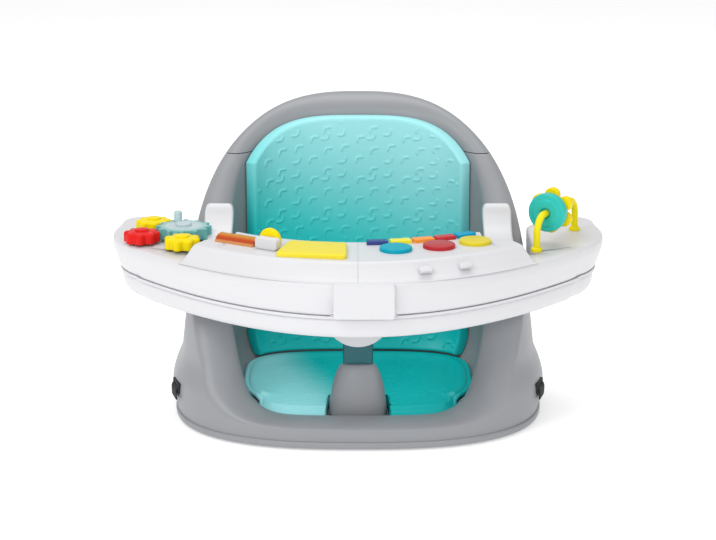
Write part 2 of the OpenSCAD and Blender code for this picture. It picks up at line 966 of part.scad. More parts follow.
bracket_t = 3;
ear_w = 10;

module roller_bracket() {
    color(tray_white)
        at_roller()
            for (s = [-1, 1])
                translate([0, 0, s * (roller_len / 2 + 0.5 + bracket_t / 2)])
                    difference() {
                        translate([(roller_z - deck_z) / 2 - 2, 0, 0])
                            cube([roller_z - deck_z + 4, ear_w, bracket_t], center = true);
                        cylinder(r = axle_r + run_gap / 2, h = 2 * bracket_t, center = true);
                    }
}

// Clicker ring beside the roller
ring_reach = roller_len / 2 + 16;
ring_at = roller_at + ring_reach * [cos(roller_turn), sin(roller_turn)];
ring_z = panel_top + 8;
ring_r = 13.3;
ring_t = 7;
hub_r = 4;

module at_ring() {
    translate([ring_at.x, ring_at.y, ring_z])
        rotate([0, 0, roller_turn])
            rotate([90, 0, 0])
                children();
}

module clicker_ring() {
    color(toy_yellow)
        at_ring()
            difference() {
                cylinder(r = ring_r, h = ring_t, center = true);
                cylinder(r = hub_r + run_gap, h = 2 * ring_t, center = true);
            }
}

// Hub through the ring, from a boss that stands on the panel to a cap behind the ring
module clicker_hub() {
    boss_w = 28;
    boss_h = 13;
    boss_t = 9;
    side_gap = 0.4;
    color(tray_white)
        at_ring() {
            cylinder(r = hub_r, h = ring_t + 2 * side_gap + 0.2, center = true);
            translate([2, panel_top - ring_z + boss_h / 2, ring_t / 2 + side_gap])
                linear_extrude(height = boss_t)
                    rounded_rect(boss_w, boss_h, 2.5);
            translate([0, 0, -ring_t / 2 - side_gap - 2])
                cylinder(r = hub_r + 1.5, h = 2);
        }
}

module left_panel() {
    color(tray_white)
        difference() {
            mirror([1, 0, 0])
                panel_shell();
            press_hole()
                light_shape(seat_gap);
            translate([roller_at.x, roller_at.y, deck_z - 1])
                rotate([0, 0, roller_turn])
                    translate([-roller_len / 2 - 5, -roller_d / 2 - 1, 0])
                        cube([roller_len + 10, roller_d + 2, panel_h + 2]);
            translate([ring_at.x, ring_at.y, 0])
                rotate([0, 0, roller_turn])
                    translate([-ring_r - 1, -ring_t / 2 - 0.6, deck_z - 1])
                        cube([2 * ring_r + 2, ring_t + 4, panel_h + 2]);
        }
}

module right_panel() {
    color(tray_white)
        difference() {
            panel_shell();
            for (i = [0:2])
                press_hole()
                    button_shape(i, seat_gap);
            for (i = [0:key_count - 1])
                press_hole()
                    key_shape(i, seat_gap);
            for (i = [0, 1])
                at_switch(i)
                    cube([switch_throw * 2 + 5, 40, 4], center = true);
        }
}

// Gears on the left end of the tray
drive_at = [-196, 0];
mesh_distance = 50;
drive_r = mesh_distance * drive_teeth / (drive_teeth + flower_lobes);
flower_r = mesh_distance - drive_r;
gear_z = deck_z + 4;
knob_h = 13;
post_r = 3.5;
flower_dirs = [206, 273, 138];

function flower_at(i) = drive_at + mesh_distance * [cos(flower_dirs[i]), sin(flower_dirs[i])];

module drive_gear() {
    peg_r = 3.3;
    color("#9dbcb6")
        translate([drive_at.x, drive_at.y, gear_z])
            difference() {
                union() {
                    cylinder(r = drive_r - 3.5, h = gear_t);
                    for (i = [0:drive_teeth - 1])
                        rotate([0, 0, 360 * i / drive_teeth])
                            translate([drive_r - 1.9, 0, 0])
                                cylinder(r = peg_r, h = gear_t);
                    cylinder(r = 9, h = gear_t + 4);
                    translate([-8, drive_r - 10, 0])
                        cylinder(r = 4.5, h = gear_t + knob_h);
                }
                translate([0, 0, -1])
                    cylinder(r = post_r + run_gap, h = gear_t + 2);
            }
}

module flower_gear(i) {
    lobe_r = 5;
    mesh = flower_dirs[i] - 180;
    phase = 360 / flower_lobes / 2;
    spin = drive_teeth / flower_lobes * (flower_dirs[i] % (360 / drive_teeth));
    translate([flower_at(i).x, flower_at(i).y, gear_z])
        rotate([0, 0, mesh + phase + spin])
            difference() {
                union() {
                    cylinder(r = flower_r - 3.4, h = gear_t);
                    for (k = [0:flower_lobes - 1])
                        rotate([0, 0, 360 * k / flower_lobes])
                            translate([flower_r - 4.6, 0, 0])
                                cylinder(r = lobe_r, h = gear_t);
                    cylinder(r = 8, h = gear_t + 2.5);
                }
                translate([0, 0, -1])
                    cylinder(r = post_r + run_gap, h = gear_t + 2);
            }
}

module flower_gear_left() {
    color(toy_red)
        flower_gear(0);
}

module flower_gear_front() {
    color(toy_yellow)
        flower_gear(1);
}

module flower_gear_back() {
    color(toy_yellow)
        flower_gear(2);
}

module gear_posts() {
    color(steel)
        for (p = [drive_at, flower_at(0), flower_at(1), flower_at(2)])
            translate([p.x, p.y, deck_z]) {
                cylinder(r = post_r + 3, h = gear_z - deck_z - seat_gap);
                cylinder(r = post_r, h = gear_z - deck_z + gear_t);
            }
}

// Bead arch on the right end
arch_a = [196, -58];
arch_b = [248, 40];
arch_top = deck_z + 38;
arch_bend = 18;
arch_span = norm(arch_b - arch_a);
arch_turn = atan2(arch_b.y - arch_a.y, arch_b.x - arch_a.x);

module at_arch() {
    translate([arch_a.x, arch_a.y, 0])
        rotate([0, 0, arch_turn])
            children();
}

module arch_bend_piece() {
    rotate([90, 0, 0])
        rotate_extrude(angle = 90)
            translate([arch_bend, 0])
                circle(d = bead_tube_d);
}

module bead_arch() {
    collar_r = bead_tube_d / 2 + 2.5;
    color("#e8dc20")
        at_arch() {
            for (x = [0, arch_span])
                translate([x, 0, deck_z]) {
                    cylinder(d = bead_tube_d, h = arch_top - arch_bend - deck_z);
                    cylinder(r = collar_r, h = 5);
                }
            translate([arch_bend, 0, arch_top])
                rotate([0, 90, 0])
                    cylinder(d = bead_tube_d, h = arch_span - 2 * arch_bend);
            translate([arch_bend, 0, arch_top - arch_bend])
                mirror([1, 0, 0])
                    arch_bend_piece();
            translate([arch_span - arch_bend, 0, arch_top - arch_bend])
                arch_bend_piece();
        }
}

bead_hole_r = bead_tube_d / 2 + run_gap;
bead_t = 11;

module bead_disc() {
    color("#6dcec7")
        at_arch()
            translate([arch_bend + 6, 0, arch_top])
                rotate([0, 90, 0])
                    difference() {
                        union() {
                            cylinder(r = bead_r, h = bead_t);
                            translate([0, 0, -2])
                                cylinder(r = bead_r - 6, h = bead_t + 4);
                        }
                        translate([0, 0, -3])
                            cylinder(r = bead_hole_r, h = bead_t + 6);
                        translate([0, 0, -3])
                            cylinder(r = 6, h = 4);
                    }
}

module bead_flower() {
    petals = 6;
    petal_r = 8.5;
    color(toy_yellow)
        at_arch()
            translate([arch_bend + 6 + bead_t + 3, 0, arch_top])
                rotate([0, 90, 0])
                    difference() {
                        union() {
                            cylinder(r = bead_r - 7, h = 9);
                            for (k = [0:petals - 1])
                                rotate([0, 0, 360 * k / petals])
                                    translate([bead_r - 4.5, 0, 0])
                                        cylinder(r = petal_r, h = 9);
                        }
                        translate([0, 0, -1])
                            cylinder(r = bead_hole_r, h = 11);
                    }
}

// Casing of the toy tray
case_floor_z = case_z + bottom_t;
case_draft = 8;
case_boss_places = [for (s = [-1, 1]) each [[s * 62, -170], [s * 160, -100], [s * 228, 30],
    [s * 118, -66]]];
case_boss_r = 4;
case_screw_r = 1.45;

latch_t = 8;
latch_x = 6.5;
latch_low = case_z + 3;
latch_high = deck_z + 2;
latch_face = tray_front + 3;
latch_pivot_z = latch_low + latch_t / 2;
latch_pivot_y = -latch_face + latch_t / 2;

module toy_tray_case() {
    color(tray_white)
        difference() {
            union() {
                difference() {
                    tray_loft([
                        [case_draft, 0, case_floor_z],
                        [0, 0, deck_z - 5],
                        [1.5, 1.5, deck_z]]);
                    tray_loft([
                        [case_draft + tray_wall, tray_wall, case_floor_z - 1],
                        [tray_wall, tray_wall, deck_z - tray_wall - 3],
                        [tray_wall + 1, tray_wall, deck_z - tray_wall]]);
                }
                for (p = case_boss_places)
                    translate([p.x, p.y, case_floor_z])
                        cylinder(r = case_boss_r, h = case_h - bottom_t - 1);
                // Wall behind the latch
                translate([latch_x - latch_w / 2 - 4, -latch_face + latch_t + 0.6, case_floor_z])
                    cube([latch_w + 8, 3, case_h - bottom_t - 1]);
            }
            for (p = case_boss_places)
                translate([p.x, p.y, case_floor_z - 1])
                    cylinder(r = case_screw_r + 0.05, h = 13);
            translate([latch_x - latch_w / 2 - 0.5, -tray_front - 5, case_floor_z - 1])
                cube([latch_w + 1, latch_t + 2.6, case_h + 5]);
        }
}

module toy_tray_bottom() {
    color(tray_white)
        difference() {
            tray_plate(case_draft, 0, case_z, bottom_t);
            for (p = case_boss_places)
                translate([p.x, p.y, case_z - 1])
                    cylinder(r = case_screw_r + 0.3, h = bottom_t + 2);
            for (p = case_boss_places)
                translate([p.x, p.y, case_z - 1])
                    cylinder(r = 3.4, h = 2.5);
            translate([battery_x - door_w / 2, battery_y - door_d / 2, case_z - 1])
                cube([door_w, door_d, bottom_t + 2]);
        }
}

module case_screws() {
    color(steel)
        for (p = case_boss_places)
            translate([p.x, p.y, case_z])
                screw(case_screw_r, 12, 3, 1.4);
}

// Battery compartment
battery_x = 0;
battery_y = -128;
battery_r = 7.25;
battery_l = 50.5;
battery_count = 3;
battery_pitch = 2 * battery_r + 0.6;
door_w = battery_l + 10;
door_d = battery_count * battery_pitch + 6;

module batteries() {
    color("#3a3f45")
        for (k = [0:battery_count - 1])
            translate([battery_x - battery_l / 2,
                battery_y + (k - (battery_count - 1) / 2) * battery_pitch,
                case_floor_z + battery_r + seat_gap])
                rotate([0, 90, 0]) {
                    cylinder(r = battery_r, h = battery_l - 1);
                    cylinder(r = 2.75, h = battery_l);
                }
}

module battery_contacts() {
    plate = 0.5;
    h = 2 * battery_r;
    color(steel)
        for (s = [-1, 1])
            translate([battery_x + s * (battery_l / 2 + seat_gap + plate / 2),
                battery_y, case_floor_z + h / 2])
                cube([plate, battery_count * battery_pitch - 2, h], center = true);
}

module battery_door() {
    color(tray_white)
        translate([battery_x, battery_y, case_z + bottom_t / 2])
            cube([door_w - 2 * seat_gap, door_d - 2 * seat_gap, bottom_t], center = true);
}

// Loudspeaker under the deck, right of the batteries
speaker_at = [92, -118];

module speaker() {
    color(black)
        translate([speaker_at.x, speaker_at.y, case_floor_z]) {
            cylinder(r = 10, h = 8);
            translate([0, 0, 8])
                cylinder(r1 = 12, r2 = 20, h = 8);
            translate([0, 0, 16])
                cylinder(r = 20, h = 2.5);
        }
}

board_t = 1.6;

module circuit_board() {
    color("#2f6b45")
        translate([0, 0, deck_z])
            linear_extrude(height = board_t)
                sector(key_r1 + 6, button_ring + 16, 4, 32);
}

module contact_domes() {
    dome_h = skin_z - 6 - press_travel - seat_gap - deck_z - board_t;
    color("#d9d9d2")
        for (i = [0:2])
            let (a = button_angles[i])
                translate([button_ring * sin(a), arc_y - button_ring * cos(a), deck_z + board_t])
                    cylinder(r1 = 6, r2 = 4, h = dome_h);
}

// ---- latch ----------------------------------------------------------------------

module front_latch() {
    color(tray_white)
        difference() {
            union() {
                translate([latch_x - latch_w / 2, -latch_face, latch_pivot_z])
                    cube([latch_w, latch_t, latch_high - latch_pivot_z]);
                translate([latch_x - latch_w / 2, latch_pivot_y, latch_pivot_z])
                    rotate([0, 90, 0])
                        cylinder(d = latch_t, h = latch_w);
            }
            translate([latch_x - latch_w / 2 - 1, latch_pivot_y, latch_pivot_z])
                rotate([0, 90, 0])
                    cylinder(d = latch_pin_d + 2 * run_gap, h = latch_w + 2);
        }
}

module latch_pin() {
    color(steel)
        translate([latch_x - latch_w / 2 - 3, latch_pivot_y, latch_pivot_z])
            rotate([0, 90, 0])
                cylinder(d = latch_pin_d, h = latch_w + 6);
}

seat_shell();
backrest_shell();
base_plate();
foot_pads();
base_screws();
crotch_post();
post_neck();
seat_pad();
back_pad();
strap_guides();
chair_strap();
snack_tray();
tray_front_tab();
tray_clip_left();
tray_clip_right();
toy_tray_case();
toy_tray_bottom();
case_screws();
left_panel();
right_panel();
front_latch();
latch_pin();
drive_gear();
flower_gear_left();
flower_gear_back();
flower_gear_front();
gear_posts();
roller_drum();
roller_axle();
roller_bracket();
clicker_ring();
clicker_hub();
light_key();
piano_key_1();
piano_key_2();
piano_key_3();
piano_key_4();
piano_key_5();
button_blue();
button_red();
button_yellow();
volume_switch();
mode_switch();
bead_arch();
bead_disc();
bead_flower();
circuit_board();
contact_domes();
speaker();
batteries();
battery_contacts();
battery_door();
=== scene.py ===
import math

import bmesh
import bpy
import numpy as np
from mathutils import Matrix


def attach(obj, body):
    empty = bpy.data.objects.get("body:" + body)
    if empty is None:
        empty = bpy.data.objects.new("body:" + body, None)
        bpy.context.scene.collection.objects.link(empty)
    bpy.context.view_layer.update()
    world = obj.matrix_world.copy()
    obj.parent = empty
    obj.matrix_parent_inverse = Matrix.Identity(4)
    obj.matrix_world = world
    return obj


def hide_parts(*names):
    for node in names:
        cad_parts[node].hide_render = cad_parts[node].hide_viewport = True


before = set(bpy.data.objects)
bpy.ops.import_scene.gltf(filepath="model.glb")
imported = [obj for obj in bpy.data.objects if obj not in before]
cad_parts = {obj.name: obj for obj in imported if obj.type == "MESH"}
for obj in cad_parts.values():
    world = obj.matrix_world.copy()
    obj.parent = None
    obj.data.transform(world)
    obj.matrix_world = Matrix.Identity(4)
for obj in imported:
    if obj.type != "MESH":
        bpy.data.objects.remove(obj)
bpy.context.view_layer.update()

mm = 0.001
tau = 2 * math.pi


# Small numeric helpers

def ease(v):
    # Smooth step from 0 at 0 to 1 at 1
    u = np.clip(v, 0, 1)
    return u * u * (3 - 2 * u)


def mix(a, b, t):
    # A share t of the way from a to b
    return a + (b - a) * t


def spow(v, n):
    # Superellipse term: the size of a sine or cosine to the power 2 / n, with its sign kept
    return np.sign(v) * np.abs(v) ** (2 / n)


def ramp(xs, ys, x):
    # Smooth curve through given points: cubic pieces whose slopes are the mean of the two sides
    xs, ys, x = np.asarray(xs, float), np.asarray(ys, float), np.asarray(x, float)
    slopes = np.gradient(ys, xs)
    k = np.clip(np.searchsorted(xs, x, "right") - 1, 0, len(xs) - 2)
    h = xs[k + 1] - xs[k]
    t = (x - xs[k]) / h
    return ((2 * t**3 - 3 * t**2 + 1) * ys[k] + (t**3 - 2 * t**2 + t) * h * slopes[k]
            + (3 * t**2 - 2 * t**3) * ys[k + 1] + (t**3 - t**2) * h * slopes[k + 1])


def turnMatrix(axis, degrees):
    # Turn about an axis, by its part along the axis, across it and square to both
    a = np.asarray(axis, float) / np.linalg.norm(axis)
    c, s = math.cos(math.radians(degrees)), math.sin(math.radians(degrees))
    cross = np.array([[0, -a[2], a[1]], [a[2], 0, -a[0]], [-a[1], a[0], 0]])
    return np.eye(3) * c + s * cross + (1 - c) * np.outer(a, a)


def heading(degrees):
    # Unit vector in the floor's plane, turned from x towards y
    return np.array([math.cos(math.radians(degrees)), math.sin(math.radians(degrees))])


def pathLength(points):
    # Distance along a line of points, from 0 at the first one
    return np.concatenate([[0], np.cumsum(np.linalg.norm(np.diff(points, axis=0), axis=1))])


def leftNormals(d):
    # Unit vectors on the left of the plane directions d
    return np.stack([-d[:, 1], d[:, 0]], axis=-1) / np.linalg.norm(d, axis=1)[:, None]


def quarter(steps):
    # Angles of a quarter turn
    return np.linspace(0, math.pi / 2, steps)


def arcOf(a):
    # Cosines and sines of the angles a: the two coordinates of an arc of radius 1
    return np.cos(a), np.sin(a)


# Mesh building: a part is (vertices in mm, list of face arrays)

def gridFaces(rows, cols, wrapCols=False, wrapRows=False):
    # Four-sided faces between neighbours of a grid of points, which may close on itself
    r = np.arange(rows if wrapRows else rows - 1)[:, None]
    c = np.arange(cols if wrapCols else cols - 1)[None, :]
    r2, c2 = (r + 1) % rows, (c + 1) % cols
    quads = np.stack([r * cols + c, r * cols + c2, r2 * cols + c2, r2 * cols + c], axis=-1)
    return quads.reshape(-1, 4)


def closedLoft(rings, capStart="pole", capEnd="pole"):
    # Rings of points, each closed, joined in order. A pole cap is a fan to the ring's middle
    rings = np.asarray(rings, float)
    rows, cols, _ = rings.shape
    verts = [rings.reshape(-1, 3)]
    faces = [gridFaces(rows, cols, wrapCols=True)]
    i = np.arange(cols)
    count = rows * cols
    for side, cap in ((0, capStart), (1, capEnd)):
        base = 0 if side == 0 else (rows - 1) * cols
        ring = rings[0] if side == 0 else rings[-1]
        if cap == "pole":
            verts.append(ring.mean(axis=0)[None])
            tri = np.stack([base + (i + 1) % cols, base + i, np.full(cols, count)], axis=-1)
            count += 1
        else:
            # Strip cap: point j of the first half is joined to its partner in the second half
            half = cols // 2
            j = np.arange(half - 1)
            tri = np.stack([base + j + 1, base + j, base + cols - 1 - j, base + cols - 2 - j],
                           axis=-1)
        faces.append(tri if side == 0 else tri[:, ::-1])
    return np.concatenate(verts), faces


def torusLoft(rings):
    # Closed rings joined in a closed circle
    rings = np.asarray(rings, float)
    rows, cols, _ = rings.shape
    return rings.reshape(-1, 3), [gridFaces(rows, cols, True, True)]


def place(part, origin=(0, 0, 0), matrix=None):
    # Turns a part about its own origin, then moves it
    verts, faces = part
    if matrix is not None:
        verts = verts @ np.asarray(matrix, float).T
    return verts + np.asarray(origin, float), faces


def enclosed(verts, faces):
    # Six times the signed volume, which is positive when faces look outwards
    total = 0.0
    for f in faces:
        a, b, c = verts[f[:, 0]], verts[f[:, 1]], verts[f[:, 2]]
        total += np.einsum("ij,ij->i", a, np.cross(b, c)).sum()
        if f.shape[1] == 4:
            total += np.einsum("ij,ij->i", a, np.cross(c, verts[f[:, 3]])).sum()
    return total


def piece(name, body, nodes, parts, material, sharp=38):
    # Joins parts into one mesh that faces outwards; edges over `sharp` degrees stay crisp
    parts = parts if isinstance(parts, list) else [parts]
    allVerts, allFaces, start = [], [], 0
    for verts, faces in parts:
        if enclosed(verts - verts.mean(axis=0), faces) < 0:
            faces = [f[:, ::-1] for f in faces]
        allVerts.append(verts)
        allFaces += [f + start for f in faces]
        start += len(verts)
    verts = np.concatenate(allVerts) * mm
    loops = np.concatenate([f.ravel() for f in allFaces])
    totals = np.concatenate([np.full(len(f), f.shape[1]) for f in allFaces])
    mesh = bpy.data.meshes.new(name)
    mesh.vertices.add(len(verts))
    mesh.vertices.foreach_set("co", verts.astype(np.float32).ravel())
    mesh.loops.add(len(loops))
    mesh.loops.foreach_set("vertex_index", loops.astype(np.int32))
    mesh.polygons.add(len(totals))
    starts = np.concatenate([[0], np.cumsum(totals)[:-1]])
    mesh.polygons.foreach_set("loop_start", starts.astype(np.int32))
    mesh.polygons.foreach_set("loop_total", totals.astype(np.int32))
    mesh.update(calc_edges=True)
    mesh.validate()
    mesh.polygons.foreach_set("use_smooth", np.ones(len(mesh.polygons), bool))
    mesh.set_sharp_from_angle(angle=math.radians(sharp))
    mesh.materials.append(material)
    obj = bpy.data.objects.new(name, mesh)
    bpy.context.scene.collection.objects.link(obj)
    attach(obj, body)
    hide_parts(*nodes)
    return obj


# Plane outlines, anticlockwise

def circle(r, count=96):
    a = tau * np.arange(count) / count
    return np.stack([r * np.cos(a), r * np.sin(a)], axis=-1)


def roundedPolygon(corners, r, steps=10):
    # Arc of radius r round each corner, from one edge's normal to the next one's, joined straight
    c = np.asarray(corners, float)
    d = np.roll(c, -1, axis=0) - c
    bearing = np.arctan2(-d[:, 0], d[:, 1])
    before = np.roll(bearing, 1)
    sweep = (bearing - before) % tau
    k = np.linspace(0, 1, steps)[None, :]
    a = before[:, None] + sweep[:, None] * k
    return (c[:, None] + r * np.stack([np.cos(a), np.sin(a)], axis=-1)).reshape(-1, 2)


def roundedRect(w, h, r, steps=10):
    x, y = w / 2 - r, h / 2 - r
    return roundedPolygon([[x, -y], [x, y], [-x, y], [-x, -y]], r, steps)


def insetOutline(outline, g):
    # Every point moves inwards by g along the mean normal of its two edges
    return outline + g * leftNormals(np.roll(outline, -1, axis=0) - np.roll(outline, 1, axis=0))


def atHeight(outline, z):
    return np.column_stack([outline, np.full(len(outline), z)])


def evenLine(points, count):
    # The same line with its points evenly spaced
    s = pathLength(points)
    at = np.linspace(0, s[-1], count)
    return np.stack([np.interp(at, s, points[:, k]) for k in (0, 1)], axis=-1)


def resample(outline, count):
    # The same closed outline with its points evenly spaced
    return evenLine(np.vstack([outline, outline[:1]]), count + 1)[:-1]


def smoothLoop(loop, spread):
    # Weighted mean over neighbours, `spread` points wide, that rounds every corner
    reach = int(3 * spread) + 1
    offsets = np.arange(-reach, reach + 1)
    weights = np.exp(-0.5 * (offsets / spread) ** 2)
    weights /= weights.sum()
    index = (np.arange(len(loop))[:, None] + offsets[None, :]) % len(loop)
    return (loop[index] * weights[None, :, None]).sum(axis=1)


def prism(outline, low, high, edge=1.0, crown=0.0, lowEdge=0.3, steps=6):
    # Upright solid with a quarter-round upper edge and a top that is crowned like a shallow bowl
    rings = [atHeight(insetOutline(outline, lowEdge), low), atHeight(outline, low + lowEdge)]
    rings += [atHeight(insetOutline(outline, edge * (1 - math.cos(a))),
                       high - edge + edge * math.sin(a)) for a in quarter(steps)]
    rim = insetOutline(outline, edge)
    middle = rim.mean(axis=0)
    rings += [atHeight(middle + (rim - middle) * k, high + crown * (1 - k * k))
              for k in (0.985, 0.85, 0.65, 0.4, 0.15)]
    return closedLoft(rings)


def lathe(profile, steps=96):
    # Closed profile of (radius, height) turned about the z axis
    p = np.asarray(profile, float)
    a = tau * np.arange(steps) / steps
    rings = np.stack([p[None, :, 0] * np.cos(a)[:, None], p[None, :, 0] * np.sin(a)[:, None],
                      np.broadcast_to(p[None, :, 1], (steps, len(p)))], axis=-1)
    return torusLoft(rings)


def tube(path, radius, sides=32):
    # Round tube along a path that lies in a plane, its rings square to the path
    path = np.asarray(path, float)
    t = np.gradient(path, axis=0)
    t /= np.linalg.norm(t, axis=1)[:, None]
    across = np.cross(path[1] - path[0], path[-1] - path[0])
    across /= np.linalg.norm(across)
    up = np.cross(across[None], t)
    a = tau * np.arange(sides)[None, :, None] / sides
    return closedLoft(path[:, None] + radius * (np.cos(a) * across + np.sin(a) * up[:, None]))


# Materials: every one reads Object coordinates, whose unit is a metre, or the piece's UV map

def linear(hexColour):
    # sRGB hex to the linear values that the shader takes
    v = [int(hexColour[i:i + 2], 16) / 255 for i in (1, 3, 5)]
    return tuple(x / 12.92 if x <= 0.04045 else ((x + 0.055) / 1.055) ** 2.4 for x in v) + (1.0,)


def blank(name):
    mat = bpy.data.materials.new(name)
    mat.use_nodes = True
    mat.node_tree.nodes.clear()
    return mat


def node(mat, kind, links=(), **settings):
    # Adds a node. Settings name its properties or, with _ for a blank, its input sockets
    made = mat.node_tree.nodes.new(kind)
    for key, value in settings.items():
        if hasattr(made, key):
            setattr(made, key, value)
        else:
            made.inputs[key.replace("_", " ")].default_value = value
    for target, source in links:
        mat.node_tree.links.new(source, made.inputs[target])
    return made


def dimmed(colour, share):
    return tuple(c * share for c in linear(colour)[:3]) + (1.0,)


def tint(mat, share, low, high):
    # Colour between low and high by a share that another node gives
    blend = node(mat, "ShaderNodeMix", [("Factor", share)], data_type="RGBA")
    blend.inputs[6].default_value = low
    blend.inputs[7].default_value = high
    return blend.outputs[2]


def finishMaterial(mat, shader):
    out = node(mat, "ShaderNodeOutputMaterial")
    mat.node_tree.links.new(shader.outputs[0], out.inputs["Surface"])
    return mat


def plastic(name, colour, shade=0.93, rough=(0.3, 0.4), grain=0.35, grainDepth=0.02, mottle=60.0,
            metallic=0.0, subsurface=0.0, gloss=0.5):
    # Moulded plastic: colour drifts slightly over `mottle` mm, the grain is in mm and gives the
    # surface its fine texture, and roughness varies between its two limits as wear and gloss do
    mat = blank(name)
    coords = node(mat, "ShaderNodeTexCoord").outputs["Object"]
    drift = node(mat, "ShaderNodeTexNoise", [("Vector", coords)], Scale=1000.0 / mottle, Detail=3.0)
    fine = node(mat, "ShaderNodeTexNoise", [("Vector", coords)], Scale=1000.0 / grain, Detail=2.0)
    mixed = tint(mat, drift.outputs["Fac"], dimmed(colour, shade), linear(colour))
    wear = node(mat, "ShaderNodeMapRange", [("Value", drift.outputs["Fac"])],
                 From_Min=0.3, From_Max=0.7, To_Min=rough[0], To_Max=rough[1])
    bump = node(mat, "ShaderNodeBump", [("Height", fine.outputs["Fac"])], Strength=0.35,
                Distance=grainDepth * mm)
    shader = node(mat, "ShaderNodeBsdfPrincipled", [
        ("Base Color", mixed), ("Roughness", wear.outputs["Result"]),
        ("Normal", bump.outputs["Normal"])], Metallic=metallic, Specular_IOR_Level=gloss,
        Subsurface_Weight=subsurface, Subsurface_Radius=(4 * mm, 4 * mm, 4 * mm))
    return finishMaterial(mat, shader)


def foam(name, colour, sheenColour, way, low, high):
    # Closed-cell foam skin: satin, finely pebbled, with a painted sheen that stands in for light.
    # The painted sheen grows along `way` between two distances in mm
    mat = blank(name)
    coords = node(mat, "ShaderNodeTexCoord").outputs["Object"]
    pebble = node(mat, "ShaderNodeTexVoronoi", [("Vector", coords)], Scale=1000.0 / 0.9)
    drift = node(mat, "ShaderNodeTexNoise", [("Vector", coords)], Scale=1000.0 / 110, Detail=2.0)
    along = node(mat, "ShaderNodeVectorMath", [(0, coords)], operation="DOT_PRODUCT")
    along.inputs[1].default_value = way
    level = node(mat, "ShaderNodeMapRange", [("Value", along.outputs["Value"])],
                 interpolation_type="SMOOTHSTEP", From_Min=low * mm, From_Max=high * mm)
    cloud = node(mat, "ShaderNodeMapRange", [("Value", drift.outputs["Fac"])], To_Min=0.75,
                 To_Max=1.1)
    # Painted sheen: the pale colour's share, broken up by the noise
    paintedSheen = node(mat, "ShaderNodeMath", [
        (0, level.outputs["Result"]), (1, cloud.outputs["Result"])],
        operation="MULTIPLY", use_clamp=True)
    mixed = tint(mat, paintedSheen.outputs[0], linear(colour), linear(sheenColour))
    bump = node(mat, "ShaderNodeBump", [("Height", pebble.outputs["Distance"])], Strength=0.25,
                Distance=0.03 * mm)
    shader = node(mat, "ShaderNodeBsdfPrincipled", [
        ("Base Color", mixed), ("Normal", bump.outputs["Normal"])], Roughness=0.38,
        Specular_IOR_Level=0.3)
    return finishMaterial(mat, shader)


def banded(name, stops, values, rough=0.15, transmission=0.3):
    # Clear moulded plastic whose tint follows a distance in mm: `values` links that distance to the
    # ramp, and each stop is (distance, colour)
    mat = blank(name)
    coords = node(mat, "ShaderNodeTexCoord").outputs["Object"]
    low, high = stops[0][0], stops[-1][0]
    level = node(mat, "ShaderNodeMapRange", [("Value", values(mat, coords))],
                 From_Min=low * mm, From_Max=high * mm)
    tints = node(mat, "ShaderNodeValToRGB", [("Fac", level.outputs["Result"])])
    for spot, colour in stops[1:-1]:
        tints.color_ramp.elements.new((spot - low) / (high - low))
    for element, (spot, colour) in zip(tints.color_ramp.elements, stops):
        element.position = (spot - low) / (high - low)
        element.color = linear(colour)
    haze = node(mat, "ShaderNodeTexNoise", [("Vector", coords)], Scale=1000.0 / 1.2, Detail=2.0)
    bump = node(mat, "ShaderNodeBump", [("Height", haze.outputs["Fac"])], Strength=0.3,
                Distance=0.02 * mm)
    shader = node(mat, "ShaderNodeBsdfPrincipled", [
        ("Base Color", tints.outputs["Color"]), ("Normal", bump.outputs["Normal"])],
        Roughness=rough, IOR=1.45, Transmission_Weight=transmission)
    return finishMaterial(mat, shader)


def heightFrom(z):
    # Distance above or below the level z
    def value(mat, coords):
        parts = node(mat, "ShaderNodeSeparateXYZ", [("Vector", coords)])
        shifted = node(mat, "ShaderNodeMath", [(0, parts.outputs["Z"])], operation="SUBTRACT")
        shifted.inputs[1].default_value = z * mm
        return node(mat, "ShaderNodeMath", [(0, shifted.outputs[0])],
                    operation="ABSOLUTE").outputs[0]
    return value


def radiusFrom(x, y):
    # Distance from an upright axis through (x, y)
    def value(mat, coords):
        level = node(mat, "ShaderNodeVectorMath", [(0, coords)], operation="MULTIPLY")
        level.inputs[1].default_value = (1.0, 1.0, 0.0)
        apart = node(mat, "ShaderNodeVectorMath", [(0, level.outputs["Vector"])],
                     operation="DISTANCE")
        apart.inputs[1].default_value = (x * mm, y * mm, 0.0)
        return apart.outputs["Value"]
    return value


def webbing(name, colour):
    # Woven polyester: two crossed waves, 1.4 mm and 1.1 mm apart, raise the threads
    mat = blank(name)
    coords = node(mat, "ShaderNodeTexCoord").outputs["Object"]
    warp = node(mat, "ShaderNodeTexWave", [("Vector", coords)], bands_direction="Y",
                Scale=1000.0 / 1.4 / tau)
    weft = node(mat, "ShaderNodeTexWave", [("Vector", coords)], bands_direction="Z",
                Scale=1000.0 / 1.1 / tau)
    weave = node(mat, "ShaderNodeMath", [(0, warp.outputs["Fac"]), (1, weft.outputs["Fac"])],
                 operation="MULTIPLY")
    bump = node(mat, "ShaderNodeBump", [("Height", weave.outputs[0])], Strength=0.6,
                Distance=0.25 * mm)
    # Painted shade: the colour darkens in the hollows between the threads
    mixed = tint(mat, weave.outputs[0], dimmed(colour, 0.55), linear(colour))
    shader = node(mat, "ShaderNodeBsdfPrincipled", [
        ("Base Color", mixed), ("Normal", bump.outputs["Normal"])], Roughness=0.85)
    return finishMaterial(mat, shader)


print("materials")
